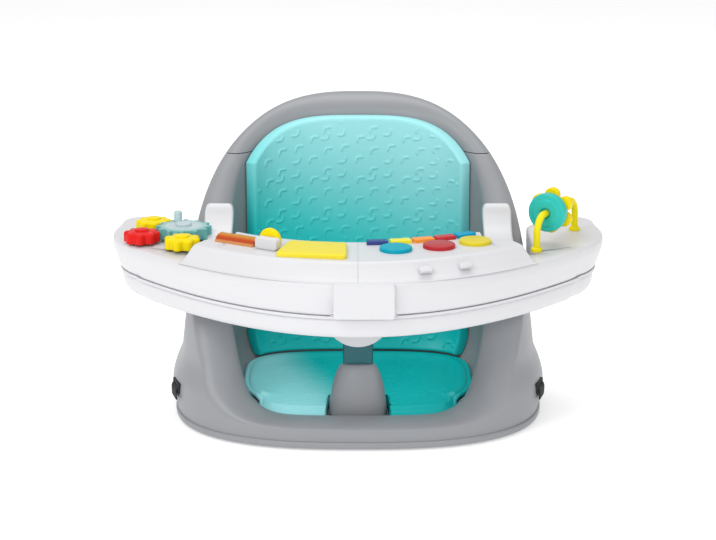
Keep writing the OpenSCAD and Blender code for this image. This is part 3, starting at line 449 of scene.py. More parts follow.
# Large mouldings: polypropylene and ABS from a spark-eroded mould, satin with a fine grain
greyShell = plastic("grey polypropylene", "#8f9195", shade=0.96, rough=(0.36, 0.46), grain=0.5,
                    grainDepth=0.05)
whiteTray = plastic("white ABS", "#d1d1d4", shade=0.99, rough=(0.36, 0.42), grainDepth=0.01)
# Teal darkened to the shade in the gap below the tray: painted shade in the neck's colour
shadedTeal = plastic("dark teal plastic", "#055a63", rough=(0.35, 0.45))
# Both foams carry painted sheen: the back pad pales towards its top and right, the seat pad towards
# its left
backFoam = foam("teal back foam", "#00c2c0", "#a2e0e4", (0.25, 0.0, 1.0), 130.0, 320.0)
seatFoam = foam("teal seat foam", "#00b8b6", "#98dce0", (-1.0, -0.4, 0.0), 15.0, 80.0)
blackRubber = plastic("black rubber", "#1c1d20", rough=(0.6, 0.75), grain=0.8, grainDepth=0.08)
blackWebbing = webbing("black webbing", "#2a2b30")
steel = plastic("zinc-plated steel", "#b9bcc0", rough=(0.25, 0.35), metallic=1.0, grain=0.2)
# Toys: ABS dyed right through, whose smooth skin keeps the colour deep and the highlights soft
toySkin = {"rough": (0.22, 0.3), "gloss": 0.12}
softSkin = {"rough": (0.25, 0.35), "gloss": 0.12}
yellow = plastic("yellow plastic", "#efd600", subsurface=0.05, **toySkin)
red = plastic("red plastic", "#d81f1c", **toySkin)
blue = plastic("blue plastic", "#00a0b8", **toySkin)
navy = plastic("navy plastic", "#3a4a86", **toySkin)
orange = plastic("orange plastic", "#f7973f", **toySkin)
keyYellow = plastic("key yellow plastic", "#efe03a", **toySkin)
keyRed = plastic("key red plastic", "#c4343a", **toySkin)
keyBlue = plastic("key blue plastic", "#079ac2", **toySkin)
buttonRed = plastic("button red plastic", "#b82f35", **toySkin)
buttonYellow = plastic("button yellow plastic", "#ddcc33", **toySkin)
lightYellow = plastic("light key yellow plastic", "#ead73a", **softSkin)
tealToy = plastic("teal toy plastic", "#35bdb2", **softSkin)
tubeYellow = plastic("tube yellow plastic", "#ebdc18", **softSkin)
boardGreen = plastic("green solder mask", "#2f6b45")
silicone = plastic("silicone", "#d9d9d2", rough=(0.5, 0.6))
darkPart = plastic("black plastic", "#2b2c30", rough=(0.4, 0.5))


# The tub: the same formulas as the CAD model, sampled finely

tub = {"halfW": 200, "hip": 12, "halfD": 166, "y": 16, "wall": 3, "floor": 18, "lip": 29,
       "top": 336, "bucketW": 147, "fillet": 45, "foot": 10, "lean": 0.0625,
       "taper": 0.112, "hipTop": 82, "hipRun": 42, "tuck": 5, "tuckTop": 34, "tuckRun": 30,
       "nFoot": 2.6, "nTop": 2.2, "nBucket": 3.4, "front": 128, "back": 92, "backLean": 0.12,
       "rim": 20, "crestBack": 0.68, "crestFront": 0.84, "armFrom": 55, "armRun": 50,
       "lipFrom": 165, "lipRun": 60, "bucketBack": 8, "seamAngle": 63.5, "seamBelow": 0.35,
       "seamAbove": 0.65, "crisp": 50, "cols": 390, "rowsOver": (30, 34, 14, 14),
       "rowsUnder": (5, 8, 3, 5), "pole": 0.03}
bucketY = tub["y"] + tub["bucketBack"]


def outerHalf(z):
    # Half width: straight taper above the hips, smooth steps out to the hips and in at the foot
    return (tub["halfW"] - tub["taper"] * np.maximum(0, z - tub["hipTop"])
            + tub["hip"] * ease((tub["hipTop"] - z) / tub["hipRun"])
            - tub["tuck"] * ease((tub["tuckTop"] - z) / tub["tuckRun"]))


def outerAt(t, z, w=0.0):
    # Outer wall: a superellipse in plan whose exponent and width change with height
    n = mix(tub["nFoot"], tub["nTop"], z / tub["top"])
    return ((outerHalf(z) - w) * spow(np.sin(t), n),
            tub["y"] + tub["lean"] * z - (tub["halfD"] - w) * spow(np.cos(t), n))


def innerAt(t, z, w=0.0):
    # Bucket wall: a boxier superellipse whose back half leans backwards
    depth = np.where(np.cos(t) > 0, tub["front"], tub["back"] + tub["backLean"] * z)
    return ((tub["bucketW"] + w) * spow(np.sin(t), tub["nBucket"]),
            bucketY - (depth + w) * spow(np.cos(t), tub["nBucket"]))


def crestZ(t):
    # Rim height: a power of the cosine from the back, levelled to the front lip
    back = np.abs(180 - np.degrees(t) % 360)
    fall = mix(tub["crestBack"], tub["crestFront"], ease((back - tub["armFrom"]) / tub["armRun"]))
    rise = ((1 + np.cos(np.radians(back))) / 2) ** fall
    level = ease((tub["lipFrom"] - back) / tub["lipRun"])
    return tub["lip"] + (tub["top"] - tub["lip"]) * rise * level


def rimDrop(t):
    # Height of the rounded rim, less where the wall itself is low
    return np.minimum(tub["rim"], 0.6 * (crestZ(t) - tub["floor"]))


def filletRise(t):
    # Height and run of the fillet between the bucket's floor and its wall
    return np.minimum(tub["fillet"], crestZ(t) - rimDrop(t) - tub["floor"] - 0.5)


def filletRun(t):
    return np.minimum(tub["fillet"], 1.5 * filletRise(t))


def filletIn(t, up):
    # How far the fillet reaches inwards at a height above the floor: a quarter of an ellipse
    k = np.clip(1 - up / filletRise(t), 0, 1)
    return filletRun(t) * (1 - np.sqrt(1 - k * k))


def between(t, z, k, w=0.0):
    # Point a share k of the way from the outer wall to the bucket's wall at height z
    ax, ay = outerAt(t, z, w)
    bx, by = innerAt(t, z, w)
    return np.stack([mix(ax, bx, k), mix(ay, by, k), z + 0 * ax], axis=-1)


def evenAngles(start, finish, count, z=120.0, inner=True):
    # Angles that space the columns evenly along the wall at height z
    t = np.radians(np.linspace(start, finish, 4001))
    s = pathLength(np.stack((innerAt if inner else outerAt)(t, z), axis=-1))
    return np.interp(np.linspace(0, s[-1], count), s, t)


def tubRows(t, w, wallRows, rimRows, innerRows, filletRows):
    # Upright section: outer wall, half-round rim, bucket wall, fillet
    drop = rimDrop(t)
    top = crestZ(t) - drop
    rows = [between(t, mix(tub["foot"], top, k), 0.0, w) for k in np.linspace(0, 1, wallRows)]
    for a in np.linspace(0, math.pi, rimRows)[1:]:
        rows.append(between(t, top + (drop - w) * math.sin(a), (1 - math.cos(a)) / 2, w))
    low = tub["floor"] - w
    rise = filletRise(t)
    for k in np.linspace(0, 1, innerRows)[1:]:
        rows.append(between(t, mix(top, low + rise, k), 1.0, w))
    for a in quarter(filletRows)[1:]:
        z = low + rise * (1 - math.sin(a))
        x, y = innerAt(t, z, w - filletRun(t) * (1 - math.cos(a)))
        rows.append(np.stack([x, y, z], axis=-1))
    return np.array(rows)


def keepSide(obj, height, upper):
    # Cuts the piece level at `height` mm, keeps one side and closes it with a flat face
    solid = bmesh.new()
    solid.from_mesh(obj.data)
    everything = solid.verts[:] + solid.edges[:] + solid.faces[:]
    cut = bmesh.ops.bisect_plane(solid, geom=everything, dist=1e-7, plane_co=(0, 0, height * mm),
                                 plane_no=(0, 0, 1), clear_inner=upper, clear_outer=not upper)
    edges = [g for g in cut["geom_cut"] if isinstance(g, bmesh.types.BMEdge)]
    bmesh.ops.triangle_fill(solid, edges=edges, normal=(0, 0, -1 if upper else 1))
    bmesh.ops.recalc_face_normals(solid, faces=solid.faces[:])
    solid.to_mesh(obj.data)
    solid.free()
    obj.data.polygons.foreach_set("use_smooth", np.ones(len(obj.data.polygons), bool))
    obj.data.set_sharp_from_angle(angle=math.radians(tub["crisp"]))


print("tub")
tubT = evenAngles(0, 360, tub["cols"] + 1, inner=False)[:-1]
over = tubRows(tubT, 0.0, *tub["rowsOver"])
under = tubRows(tubT, float(tub["wall"]), *tub["rowsUnder"])
# Floor rings that close on the middle of the bucket, above and below
poleOver = np.array([0, bucketY, tub["floor"]])
poleUnder = poleOver - [0, 0, tub["wall"]]
tubPart = closedLoft(np.concatenate([
    mix(poleUnder, under[-1], tub["pole"])[None], under[::-1], over,
    mix(poleOver, over[-1], tub["pole"])[None]]))
seamZ = float(crestZ(math.radians(180 - tub["seamAngle"])))
shell = piece("seatShell", "seat", ["seat_shell"], tubPart, greyShell, sharp=tub["crisp"])
keepSide(shell, seamZ - tub["seamBelow"], False)
backrest = piece("backrestShell", "seat", ["backrest_shell"], tubPart, greyShell,
                 sharp=tub["crisp"])
keepSide(backrest, seamZ + tub["seamAbove"], True)


print("pads")
pad = {"t": 12.0, "gap": 1.6, "halfW": 127.0, "cols": 460, "rows": 330, "foot": 36.0,
       "topGap": 3.5, "border": 4.5, "topShare": 0.92, "edge": 0.45, "crown": 0.93, "plain": 5.0,
       "plainRun": 3.0, "crisp": 80, "cellW": 60.0, "cellH": 48.0, "arcR": 4.6, "arcIn": 0.8,
       "arms": (3.8, 1.2), "stroke": 1.1, "soft": (0.9, 1.3), "raise": 0.9,
       "corners": ((0, 0, 1), (21, -1, -1), (42, 3.5, -1), (18, -13.5, 1), (40, -10.5, 1),
                   (-2, -24, 1), (43, -28.5, -1), (17, -37, 1))}


def hooks(u, v):
    # Raised pattern: short rounded corners, an upper left one where the sign is 1 and a lower
    # right one where it is -1, at set places of a cell that repeats. u and v are in mm
    height = np.zeros_like(u)
    for cx, cy, sign in pad["corners"]:
        inset = sign * pad["arcR"] * pad["arcIn"]
        dx = (u - cx - inset + pad["cellW"] / 2) % pad["cellW"] - pad["cellW"] / 2
        dy = (v - cy + inset + pad["cellH"] / 2) % pad["cellH"] - pad["cellH"] / 2
        dx, dy = -dx * sign, dy * sign
        off = np.abs(np.hypot(np.maximum(dx, 0), np.maximum(dy, 0)) - pad["arcR"])
        past = np.maximum(np.maximum(-dx - pad["arms"][0], -dy - pad["arms"][1]), 0)
        reach = np.hypot(off, past)
        slope = (pad["stroke"] + pad["soft"][0] - reach) / pad["soft"][1]
        height = np.maximum(height, ease(slope))
    return height


def sheetPart(front, back, step):
    # Closed pad from a fine front grid and a coarse back grid; the two borders are sewn by a strip
    # of triangles, `step` fine edges to each coarse one
    rows, cols, _ = front.shape
    bRows, bCols, _ = back.shape
    def border(r, c, start):
        top = np.arange(c)
        right = (np.arange(1, r)) * c + c - 1
        bottom = (r - 1) * c + np.arange(c - 2, -1, -1)
        left = np.arange(r - 2, 0, -1) * c
        return start + np.concatenate([top, right, bottom, left])
    fine, coarse = border(rows, cols, 0), border(bRows, bCols, rows * cols)
    n, m = len(fine), len(coarse)
    i = np.arange(n)
    near = coarse[((i + step // 2) // step) % m]
    flat = np.stack([fine, fine[(i + 1) % n], near], axis=-1)
    k = np.arange(m)
    joint = np.stack([fine[(k * step + step // 2) % n], coarse[(k + 1) % m], coarse[k]], axis=-1)
    verts = np.concatenate([front.reshape(-1, 3), back.reshape(-1, 3)])
    backFaces = gridFaces(bRows, bCols)[:, ::-1] + rows * cols
    return verts, [gridFaces(rows, cols), backFaces, flat[:, ::-1], joint[:, ::-1]]


spanAngle = math.degrees(math.asin((pad["halfW"] / (tub["bucketW"] - pad["t"] / 2))
                                   ** (tub["nBucket"] / 2)))
padT = evenAngles(180 - spanAngle, 180 + spanAngle, pad["cols"] + 1, z=180.0)
padU = pathLength(np.stack(innerAt(padT, 180.0), axis=-1))
padU -= padU[-1] / 2


def backPadGrid(step):
    # Grid over the back: angle, distance across from the middle, height, and the pad's top there
    t = padT[::step][None, :]
    v = np.linspace(0, 1, pad["rows"] // step + 1)[:, None]
    top = crestZ(t) - rimDrop(t) - pad["topGap"]
    z = mix(pad["foot"], top, v)
    return t + 0 * z, padU[::step][None, :] + 0 * z, z, top


t, u, z, top = backPadGrid(1)
# The edge falls off as a quarter round over the border, a little wider along the top
edgeIn = np.minimum(np.minimum(padU[-1] - np.abs(u), z - pad["foot"]), (top - z) * pad["topShare"])
roll = np.sqrt(np.clip(1 - (1 - np.clip(edgeIn / pad["border"], 0, 1)) ** 2, 0, 1))
thick = pad["t"] * mix(pad["edge"], 1, roll) * pad["crown"]
emboss = hooks(-u, z) * ease((edgeIn - pad["plain"]) / pad["plainRun"]) * pad["raise"]


def inFrontOfBack(t, z, over):
    # Points `over` mm in front of the tub's back, which follow its fillet at the foot
    x, y = innerAt(t, z, -pad["gap"] - over - filletIn(t, z - tub["floor"]))
    return np.stack([x, y, z], axis=-1)


frontGrid = inFrontOfBack(t, z, thick + emboss)
t, u, z, top = backPadGrid(2)
backPad = piece("backPad", "seat", ["back_pad"], sheetPart(frontGrid, inFrontOfBack(t, z, 0), 2),
                backFoam, sharp=pad["crisp"])

# Angles, in degrees up the fillet, say where the seat pad ends and how far before it rolls down
seatSet = {"edge": 39.0, "bulge": 5.0, "soft": 13.0, "thinner": 1.0, "raise": 0.55, "crisp": 60,
           "notchHalf": 34.0, "notchBack": -52.0, "notchSlope": 2.5, "notchDeep": 90.0,
           "cols": 420, "plainRows": 12, "fadeRows": 14}
seatT = evenAngles(0, 360, seatSet["cols"] + 1, z=60.0)[:-1]


def seatAt(t, d, turn):
    # Point of the pad, d above the tub: turn runs from 0 on the floor to 90 degrees up the wall
    run = np.maximum(filletRun(t), 0.5 * d + 6)
    rise = np.maximum(filletRise(t), d + 6)
    a = math.radians(turn)
    z = tub["floor"] + rise - (rise - d) * math.cos(a)
    x, y = innerAt(t, z, (run - d) * math.sin(a) - run)
    return np.stack([x, y, z], axis=-1)


def seatOver(k):
    # Height of the upper side above the tub: full over the middle, rolled down towards the rim
    s = max(0.0, (k - seatSet["edge"] + seatSet["soft"]) / seatSet["soft"])
    full = pad["t"] - seatSet["thinner"]
    return pad["gap"] + full * (0.5 + 0.5 * math.sqrt(max(0.0, 1 - s * s)))


def shrunk(ring, k):
    # The ring drawn in towards the bucket's middle to a share k of its size, at its own height
    return np.column_stack([mix(np.array([0, bucketY]), ring[:, :2], k), ring[:, 2]])


turns = seatSet["edge"] * np.sin(quarter(26))
inward = np.linspace(1, 0.02, 76)[1:]
lower = [seatAt(seatT, pad["gap"], float(k)) for k in np.linspace(0, seatSet["edge"], 9)]
lower = [shrunk(lower[0], k) for k in inward[::-8]] + lower
rimTop = seatOver(seatSet["edge"])
rim = [seatAt(seatT, mix(pad["gap"], rimTop, (1 - math.cos(math.pi * k)) / 2),
              seatSet["edge"] + seatSet["bulge"] * math.sin(math.pi * k))
       for k in np.linspace(0, 1, 12)[1:-1]]
upper = [seatAt(seatT, seatOver(float(k)), float(k)) for k in turns[::-1]]
upper = np.array(upper + [shrunk(upper[-1], k) for k in inward])
fade = ease((np.arange(len(upper)) - seatSet["plainRows"]) / seatSet["fadeRows"])[:, None]
upper[..., 2] += hooks(upper[..., 0], upper[..., 1]) * fade * seatSet["raise"]
seatAll = np.concatenate([np.array(lower), np.array(rim), upper])
# Notch for the post: points in front of it are drawn back to its rear wall
beside = ease((np.abs(seatAll[..., 0]) - seatSet["notchHalf"]) / seatSet["notchSlope"])
seatAll[..., 1] = np.maximum(seatAll[..., 1], seatSet["notchBack"] - seatSet["notchDeep"] * beside)
seatPad = piece("seatPad", "seat", ["seat_pad"], closedLoft(seatAll), seatFoam,
                sharp=seatSet["crisp"])


print("base, post, strap")
# Foot ring: inset and height of each level of its rounded section
base = {"past": 1.5, "count": 320, "crisp": 50,
        "levels": ((9, 2.0), (2.2, 2.0), (0.9, 2.6), (0.2, 3.8), (0, 5.2), (0, 8.2), (0.25, 9.1),
                   (0.8, 9.75), (1.5, 10.0), (9, 10.0))}
post = {"halfW": 32.0, "halfD": 22.0, "n": 2.5, "y": -77.0, "foot": 18.3, "top": 77.0,
        "share": [0, 0.12, 0.35, 0.55, 0.72, 0.86, 0.95, 1.0],
        "width": [1, 1, 0.95, 0.89, 0.81, 0.71, 0.6, 0.5], "rows": 60, "count": 120, "crisp": 60}
neck = {"w": 33, "d": 12, "r": 3, "top": 137.7, "edge": 0.4}


def superRing(halfW, halfD, n, z, centreY, count):
    # Superellipse with exponent n at height z
    a = tau * np.arange(count) / count
    return atHeight(np.stack([halfW * spow(np.sin(a), n), centreY - halfD * spow(np.cos(a), n)],
                             axis=-1), z)


baseW, baseD = float(outerHalf(tub["foot"])) + base["past"], tub["halfD"] + base["past"]
baseRings = [superRing(baseW - g, baseD - g, tub["nFoot"], z, tub["y"], base["count"])
             for g, z in base["levels"]]
piece("basePlate", "seat", ["base_plate"], closedLoft(baseRings), greyShell, sharp=base["crisp"])

# Post: superellipses whose width shrinks towards the top along a smooth curve
k = np.linspace(0, 1, post["rows"])
postRings = [superRing(post["halfW"] * w, post["halfD"] * w, post["n"],
                       mix(post["foot"], post["top"], s), post["y"], post["count"])
             for s, w in zip(k, ramp(post["share"], post["width"], k))]
piece("crotchPost", "seat", ["crotch_post"], closedLoft(postRings), greyShell, sharp=post["crisp"])
# The neck's dark teal stands where the gap under the tray is in shade: painted shade
neckPart = prism(roundedRect(neck["w"], neck["d"], neck["r"]), post["top"], neck["top"],
                 edge=neck["edge"])
piece("postNeck", "seat", ["post_neck"], place(neckPart, (0, post["y"], 0)), shadedTeal)

# Slot liner: a frame whose outer and inner walls have (inset, depth) levels and (w, h, r) outlines
slot = {"angle": 72.0, "turn": 16.0, "z": 41.0, "outer": (11.4, 29.4, 2.0), "steps": 8,
        "inner": (7.4, 26.4, 1.2), "outerLevels": ((0, -2.4), (0, 0.9), (0.4, 1.35)),
        "innerLevels": ((-0.3, 1.35), (0, 0.9), (0, -1.8))}
# Webbing: half its width and thickness, then the line that it follows out of the slot and down
strap = {"halfW": 12.5, "halfT": 0.8, "bevel": (0.3, 0.25), "rows": 40, "share": [0, 0.3, 0.5, 1],
         "out": [-6, 0.9, 2.5, 2.7], "up": [0.4, 0.6, -1.6, -13.0]}
slotX, slotY = outerAt(math.radians(slot["angle"]), slot["z"])
across = turnMatrix((0, 0, 1), -slot["turn"])
upright = turnMatrix((0, 1, 0), 90)
outer, inner = (roundedRect(*slot[wall], slot["steps"]) for wall in ("outer", "inner"))
liner = closedLoft([atHeight(insetOutline(outer, g), z) for g, z in slot["outerLevels"]]
                   + [atHeight(insetOutline(inner, g), z) for g, z in slot["innerLevels"]])
s = np.linspace(0, 1, strap["rows"])
path = np.stack([ramp(strap["share"], strap[way], s) for way in ("out", "up")], axis=-1)
normal = leftNormals(np.gradient(path, axis=0))
w, h, (dw, dh) = strap["halfW"], strap["halfT"], strap["bevel"]
band = np.array([(-w, dh - h), (dw - w, -h), (w - dw, -h), (w, dh - h), (w, h - dh), (w - dw, h),
                 (dw - w, h), (-w, h - dh)])
bx = path[:, None, 0] + normal[:, None, 0] * band[None, :, 1]
bz = path[:, None, 1] + normal[:, None, 1] * band[None, :, 1]
webbingPart = closedLoft(np.stack([bx, np.broadcast_to(band[None, :, 0], bx.shape), bz], axis=-1))
liners, straps = [], []
for side in (-1, 1):
    spot = (side * float(slotX), float(slotY), slot["z"])
    facing = np.diag([side, 1.0, 1.0]) @ across
    liners.append(place(liner, spot, facing @ upright))
    straps.append(place(webbingPart, spot, facing))
piece("strapGuides", "seat", ["strap_guides"], liners, blackRubber)
piece("chairStrap", "seat", ["chair_strap"], straps, blackWebbing)


print("tray")
tray = {"halfW": 280.0, "front": 200.0, "bow": 0.0025, "tipX": 252.0, "gapX": 194.0, "gapY": 64.0,
        "gapTop": 66.0, "wing": 138.0, "corner": 15.0, "innerR": 203.0, "arcY": 125.0,
        "sideR": 66.0, "sideY": 36.0, "sideLong": 1.35, "tipR": 30.0, "tipIn": 32.0, "tipY": 82.0,
        "count": 360, "soft": 2.2, "crisp": 45}


def trayArc(r, a):
    # Points at the angles a on a circle of radius r about the middle of the tray's inner edge
    return np.stack([r * np.sin(a), tray["arcY"] - r * np.cos(a)], axis=-1)


def trayHalf():
    # Control points of the right half: a parabola, two arcs round the tip, the arm notch and the
    # arc of the inner edge
    x = np.linspace(0, tray["tipX"], 50)
    a1 = np.radians(np.linspace(-62, 20, 24))[1:]
    a2 = np.radians(np.linspace(25, 150, 16))
    outer = np.vstack([
        np.column_stack([x, -tray["front"] + tray["bow"] * x * x]),
        np.column_stack([tray["halfW"] + tray["sideR"] * (np.cos(a1) - 1),
                         tray["sideY"] + tray["sideR"] * tray["sideLong"] * np.sin(a1)]),
        np.column_stack([tray["halfW"] - tray["tipIn"] + tray["tipR"] * np.cos(a2),
                         tray["tipY"] + tray["tipR"] * np.sin(a2)])])
    gapX, gapY, corner = tray["gapX"], -tray["gapY"], tray["corner"]
    a3 = np.linspace(math.asin(tray["wing"] / tray["innerR"]), 0, 40)[1:]
    inner = np.vstack([[[gapX, tray["gapTop"]], [gapX, gapY + corner], [gapX - corner, gapY],
                        [tray["wing"], gapY]], trayArc(tray["innerR"], a3)])
    return outer, inner


outerHalfLine, innerHalfLine = trayHalf()
mirrorX = np.array([-1.0, 1.0])
outerLine = evenLine(np.vstack([outerHalfLine[:0:-1] * mirrorX, outerHalfLine]), tray["count"])
innerLine = evenLine(np.vstack([innerHalfLine, (innerHalfLine * mirrorX)[-2::-1]]), tray["count"])
trayLoop = smoothLoop(np.vstack([outerLine, innerLine]), tray["soft"])
trayNormal = smoothLoop(leftNormals(np.roll(trayLoop, -1, axis=0) - np.roll(trayLoop, 1, axis=0)),
                        3.0)
# Share of the outer inset at each point, easing to the inner one past the tips
outerShare = smoothLoop(np.repeat([1.0, 0.0], tray["count"])[:, None], 4.0)


def trayRing(outset, inset, z):
    # The tray's outline at height z, drawn in by one distance outside and by another one inside
    reach = outset * outerShare + inset * (1 - outerShare)
    return atHeight(trayLoop + trayNormal * reach, z)


def trayMoulding(name, node, rings, sharp):
    # White moulding whose long thin ends are closed by strips
    piece(name, "tray", [node], closedLoft(rings, "strip", "strip"), whiteTray, sharp=sharp)


# Snack tray: its side bulges as a quarter of an ellipse, then the lip turns into a dished top.
# The levels of lip and dish are (inset outside, inset inside, height)
snack = {"foot": 138.0, "rise": 21.0, "outFoot": 18.0, "outRun": 8.0, "inFoot": 3.0, "inRun": 2.0,
         "lip": ((10.1, 1.0, 157.6), (10.5, 1.3, 158.8), (11.6, 2.2, 159.6), (13, 4, 159.8)),
         "dish": ((13.5, 4.2, 156), (20, 7, 141.5), (24, 10, 141.0))}
k = np.linspace(0, 1, 9)
snackSide = [(snack["outFoot"] - snack["outRun"] * math.sin(q * math.pi / 2),
              snack["inFoot"] - snack["inRun"] * q,
              snack["foot"] + snack["rise"] * (1 - math.cos(q * math.pi / 2))) for q in k[:-1]]
trayMoulding("snackTray", "snack_tray",
             [trayRing(*v) for v in (*snackSide, *snack["lip"], *snack["dish"])], tray["crisp"])

# Toy tray: the side leans out to the rim, which ends in a quarter round
case = {"foot": ((13.0, 3.0, 163.0), (10.6, 1.4, 163.3), (9.2, 0.7, 164.4)), "low": 163.1,
        "rim": 189.0, "deck": 199.0, "lean": 8.2, "bend": 1.1, "outset": 0.4, "inset": 0.2,
        "r": 3.6, "end": (4.6, 4.4)}
caseSide = [(case["lean"] * (1 - q) ** case["bend"] + case["outset"], case["inset"],
             mix(case["low"], case["rim"], q)) for q in k[1:]]
caseRim = [(case["outset"] + back, case["inset"] + back, case["deck"] - down)
           for back, down in case["r"] - case["r"] * np.column_stack(arcOf(quarter(7)))]
caseTop = (*case["end"], case["deck"])
trayMoulding("toyTrayCase", "toy_tray_case",
             [trayRing(*v) for v in (*case["foot"], *caseSide, *caseRim, caseTop)], tray["crisp"])

# Half-round tab that hangs below the tray in front of the neck
tab = {"r": 36.0, "drop": 4.0, "t": 5, "edge": 1.2, "gap": 0.3}
upFront = turnMatrix((1, 0, 0), 90)
a = np.linspace(0, -math.pi, 80)
tabOutline = np.vstack([[[tab["r"], 0.0]], [[-tab["r"], 0.0]],
                        np.stack([-tab["r"] * np.cos(a), tab["r"] * np.sin(a) - tab["drop"]],
                                 axis=-1)])
tabSpot = (0, post["y"] - neck["d"] / 2 - tab["gap"], snack["foot"])
piece("frontTab", "tray", ["tray_front_tab"],
      place(prism(resample(tabOutline, 200), 0, tab["t"], edge=tab["edge"]), tabSpot, upFront),
      whiteTray)


# Side clips over the arms: the upper line runs from the front, up the slope, over the top and down
clip = {"w": 32.0, "x": 158.0, "top": 232.0, "foot": 162.0, "gap": 4.5, "r": 8.0, "edge": 2.5,
        "cols": 61, "count": 120, "armFrom": 93.0, "armTo": 60.0, "ceiling": 236.0, "crisp": 50,
        "slope": ((-64, 162), (-64, 199.5), (-40, 200), (-18, 201), (-4, 203.5), (6, 207),
                  (13, 211.5), (20, 217.5), (25, 222.5), (28, 227.5)), "slopeEnd": 33}


def overArm(degrees):
    # Middle of the arm's crest and the height that the clip keeps above it
    t = np.radians(degrees)
    z = crestZ(t)
    return ((outerAt(t, z)[1] + innerAt(t, z)[1]) / 2, np.maximum(clip["foot"], z + clip["gap"]))


armY, armZ = overArm(np.linspace(clip["armFrom"], clip["armTo"], 200))
backY, backZ = armY[0], armZ[0]
topLine = np.array([*clip["slope"], (clip["slopeEnd"], clip["top"]), (backY - 8, clip["top"]),
                    (backY - 2, clip["top"] - 3), (backY, clip["top"] - 9), (backY, backZ)])
topLine = evenLine(topLine, clip["count"])
topLine = smoothLoop(np.vstack([topLine, topLine[::-1]]), 1.6)[:clip["count"]]
lowY = np.linspace(backY, clip["slope"][0][0], clip["count"])
order = np.argsort(armY)
lowZ = np.minimum(np.interp(lowY, armY[order], armZ[order]), clip["ceiling"])
lowLine = np.stack([lowY, np.where(lowY < armY.min() + 1, clip["foot"], lowZ)], axis=-1)
clipX = np.linspace(-1, 1, clip["cols"])
clipX = np.sign(clipX) * (1 - (1 - np.abs(clipX)) ** 1.6) * clip["w"] / 2
rings = []
for cx in clipX:
    near = np.abs(cx) - (clip["w"] / 2 - clip["r"])
    ceiling = clip["top"] - clip["r"] + math.sqrt(max(0, clip["r"]**2 - max(0, near)**2))
    side = np.abs(cx) - (clip["w"] / 2 - clip["edge"])
    fall = clip["edge"] - math.sqrt(max(0, clip["edge"]**2 - max(0, side)**2))
    topNow = topLine.copy()
    topNow[:, 1] = np.minimum(topNow[:, 1], ceiling) - fall * (topNow[:, 1] > clip["foot"] + 3)
    lowNow = lowLine.copy()
    lowNow[:, 1] = np.minimum(lowNow[:, 1],
                              np.interp(lowNow[:, 0], topNow[:, 0], topNow[:, 1]) - 0.5)
    loop = np.vstack([topNow, lowNow])
    rings.append(np.column_stack([np.full(len(loop), cx), loop]))
clipPart = closedLoft(rings, "strip", "strip")
for side, label in ((-1, "left"), (1, "right")):
    piece(label + "Clip", "tray", ["tray_clip_" + label], place(clipPart, (side * clip["x"], 0, 0)),
          whiteTray, sharp=clip["crisp"])


# Raised panels, mirror images of each other
# The profile is (share up the front slope, inset of the rear, height)
panel = {"foot": 11.0, "slope": 21.0, "end": 180.0, "endRun": 12.0, "bow": 0.00235, "h": 17.0,
         "count": 150, "seam": 0.12, "rear": 4.0, "wingIn": 6.0, "rearY": -66.5, "crisp": 60,
         "profile": ((-0.35, -0.4, 199.0), (0, 0, 199.2), (0.25, 0.1, 202.8), (0.5, 0.3, 206.8),
                     (0.7, 0.45, 210.2), (0.8, 0.6, 212.2), (0.86, 0.9, 213.6),
                     (0.92, 1.4, 214.8), (0.98, 2.0, 215.6), (1.05, 2.8, 215.95),
                     (1.15, 4.0, 216.0))}


def panelEdge(x, up):
    # Front edge: a parabola that moves back as it goes up the slope
    return -tray["front"] + panel["foot"] + up * panel["slope"] + panel["bow"] * x * x


rearR = tray["innerR"] + panel["rear"]
widest = math.asin((tray["wing"] - panel["wingIn"]) / rearR)


def panelRing(up, g, z):
    # Front edge, far end and rear edge at one height: `up` moves the front edge up the slope and
    # g draws the rear and the far end in
    bent = panel["end"] - panel["endRun"]
    last = panel["end"] + panel["endRun"] * (1 - min(up, 1.0)) - g
    x = np.linspace(panel["seam"], bent, 60)
    endY = panelEdge(bent, up) + 0.83 * (last - bent)
    front = np.vstack([np.column_stack([x, panelEdge(x, up)]), [[last, endY]]])
    rear = trayArc(rearR + g, np.linspace(widest, 0, 50))
    rear = rear[rear[:, 0] > panel["seam"]]
    backY = panel["rearY"] - g
    rear = np.vstack([[[last - 0.557 * (backY - endY), backY], [tray["wing"] - g * 0.3, backY]],
                      rear, [[panel["seam"], tray["arcY"] - rearR - g]]])
    loop = np.vstack([evenLine(front, panel["count"]), evenLine(rear, panel["count"])])
    soft = smoothLoop(loop, 1.2)
    soft[:, 0] = np.maximum(soft[:, 0], panel["seam"])
    near = (loop[:, 0] < panel["seam"] + 4) & (soft[:, 0] < panel["seam"] + 4)
    soft[near] = loop[near]
    return atHeight(soft, z)


panelRings = np.array([panelRing(*step) for step in panel["profile"]])
trayMoulding("rightPanel", "right_panel", panelRings, panel["crisp"])
trayMoulding("leftPanel", "left_panel", panelRings * [-1, 1, 1], panel["crisp"])


print("toys")
panelTop = case["deck"] + panel["h"]
sink = 9.0  # how far the keys and buttons reach below the panel
button = {"r": 17.5, "out": 44.0, "rise": 4.2, "edge": 1.6, "crown": 0.5,
          "each": (("blue", 9.4, blue), ("red", 20.6, buttonRed), ("yellow", 30.8, buttonYellow))}
for label, degrees, mat in button["each"]:
    spot = (*trayArc(tray["innerR"] + button["out"], math.radians(degrees)), 0)
    part = prism(circle(button["r"], 120), panelTop - sink, panelTop + button["rise"],
                 edge=button["edge"], crown=button["crown"])
    piece(label + "Button", label + "_button", ["button_" + label], place(part, spot), mat)

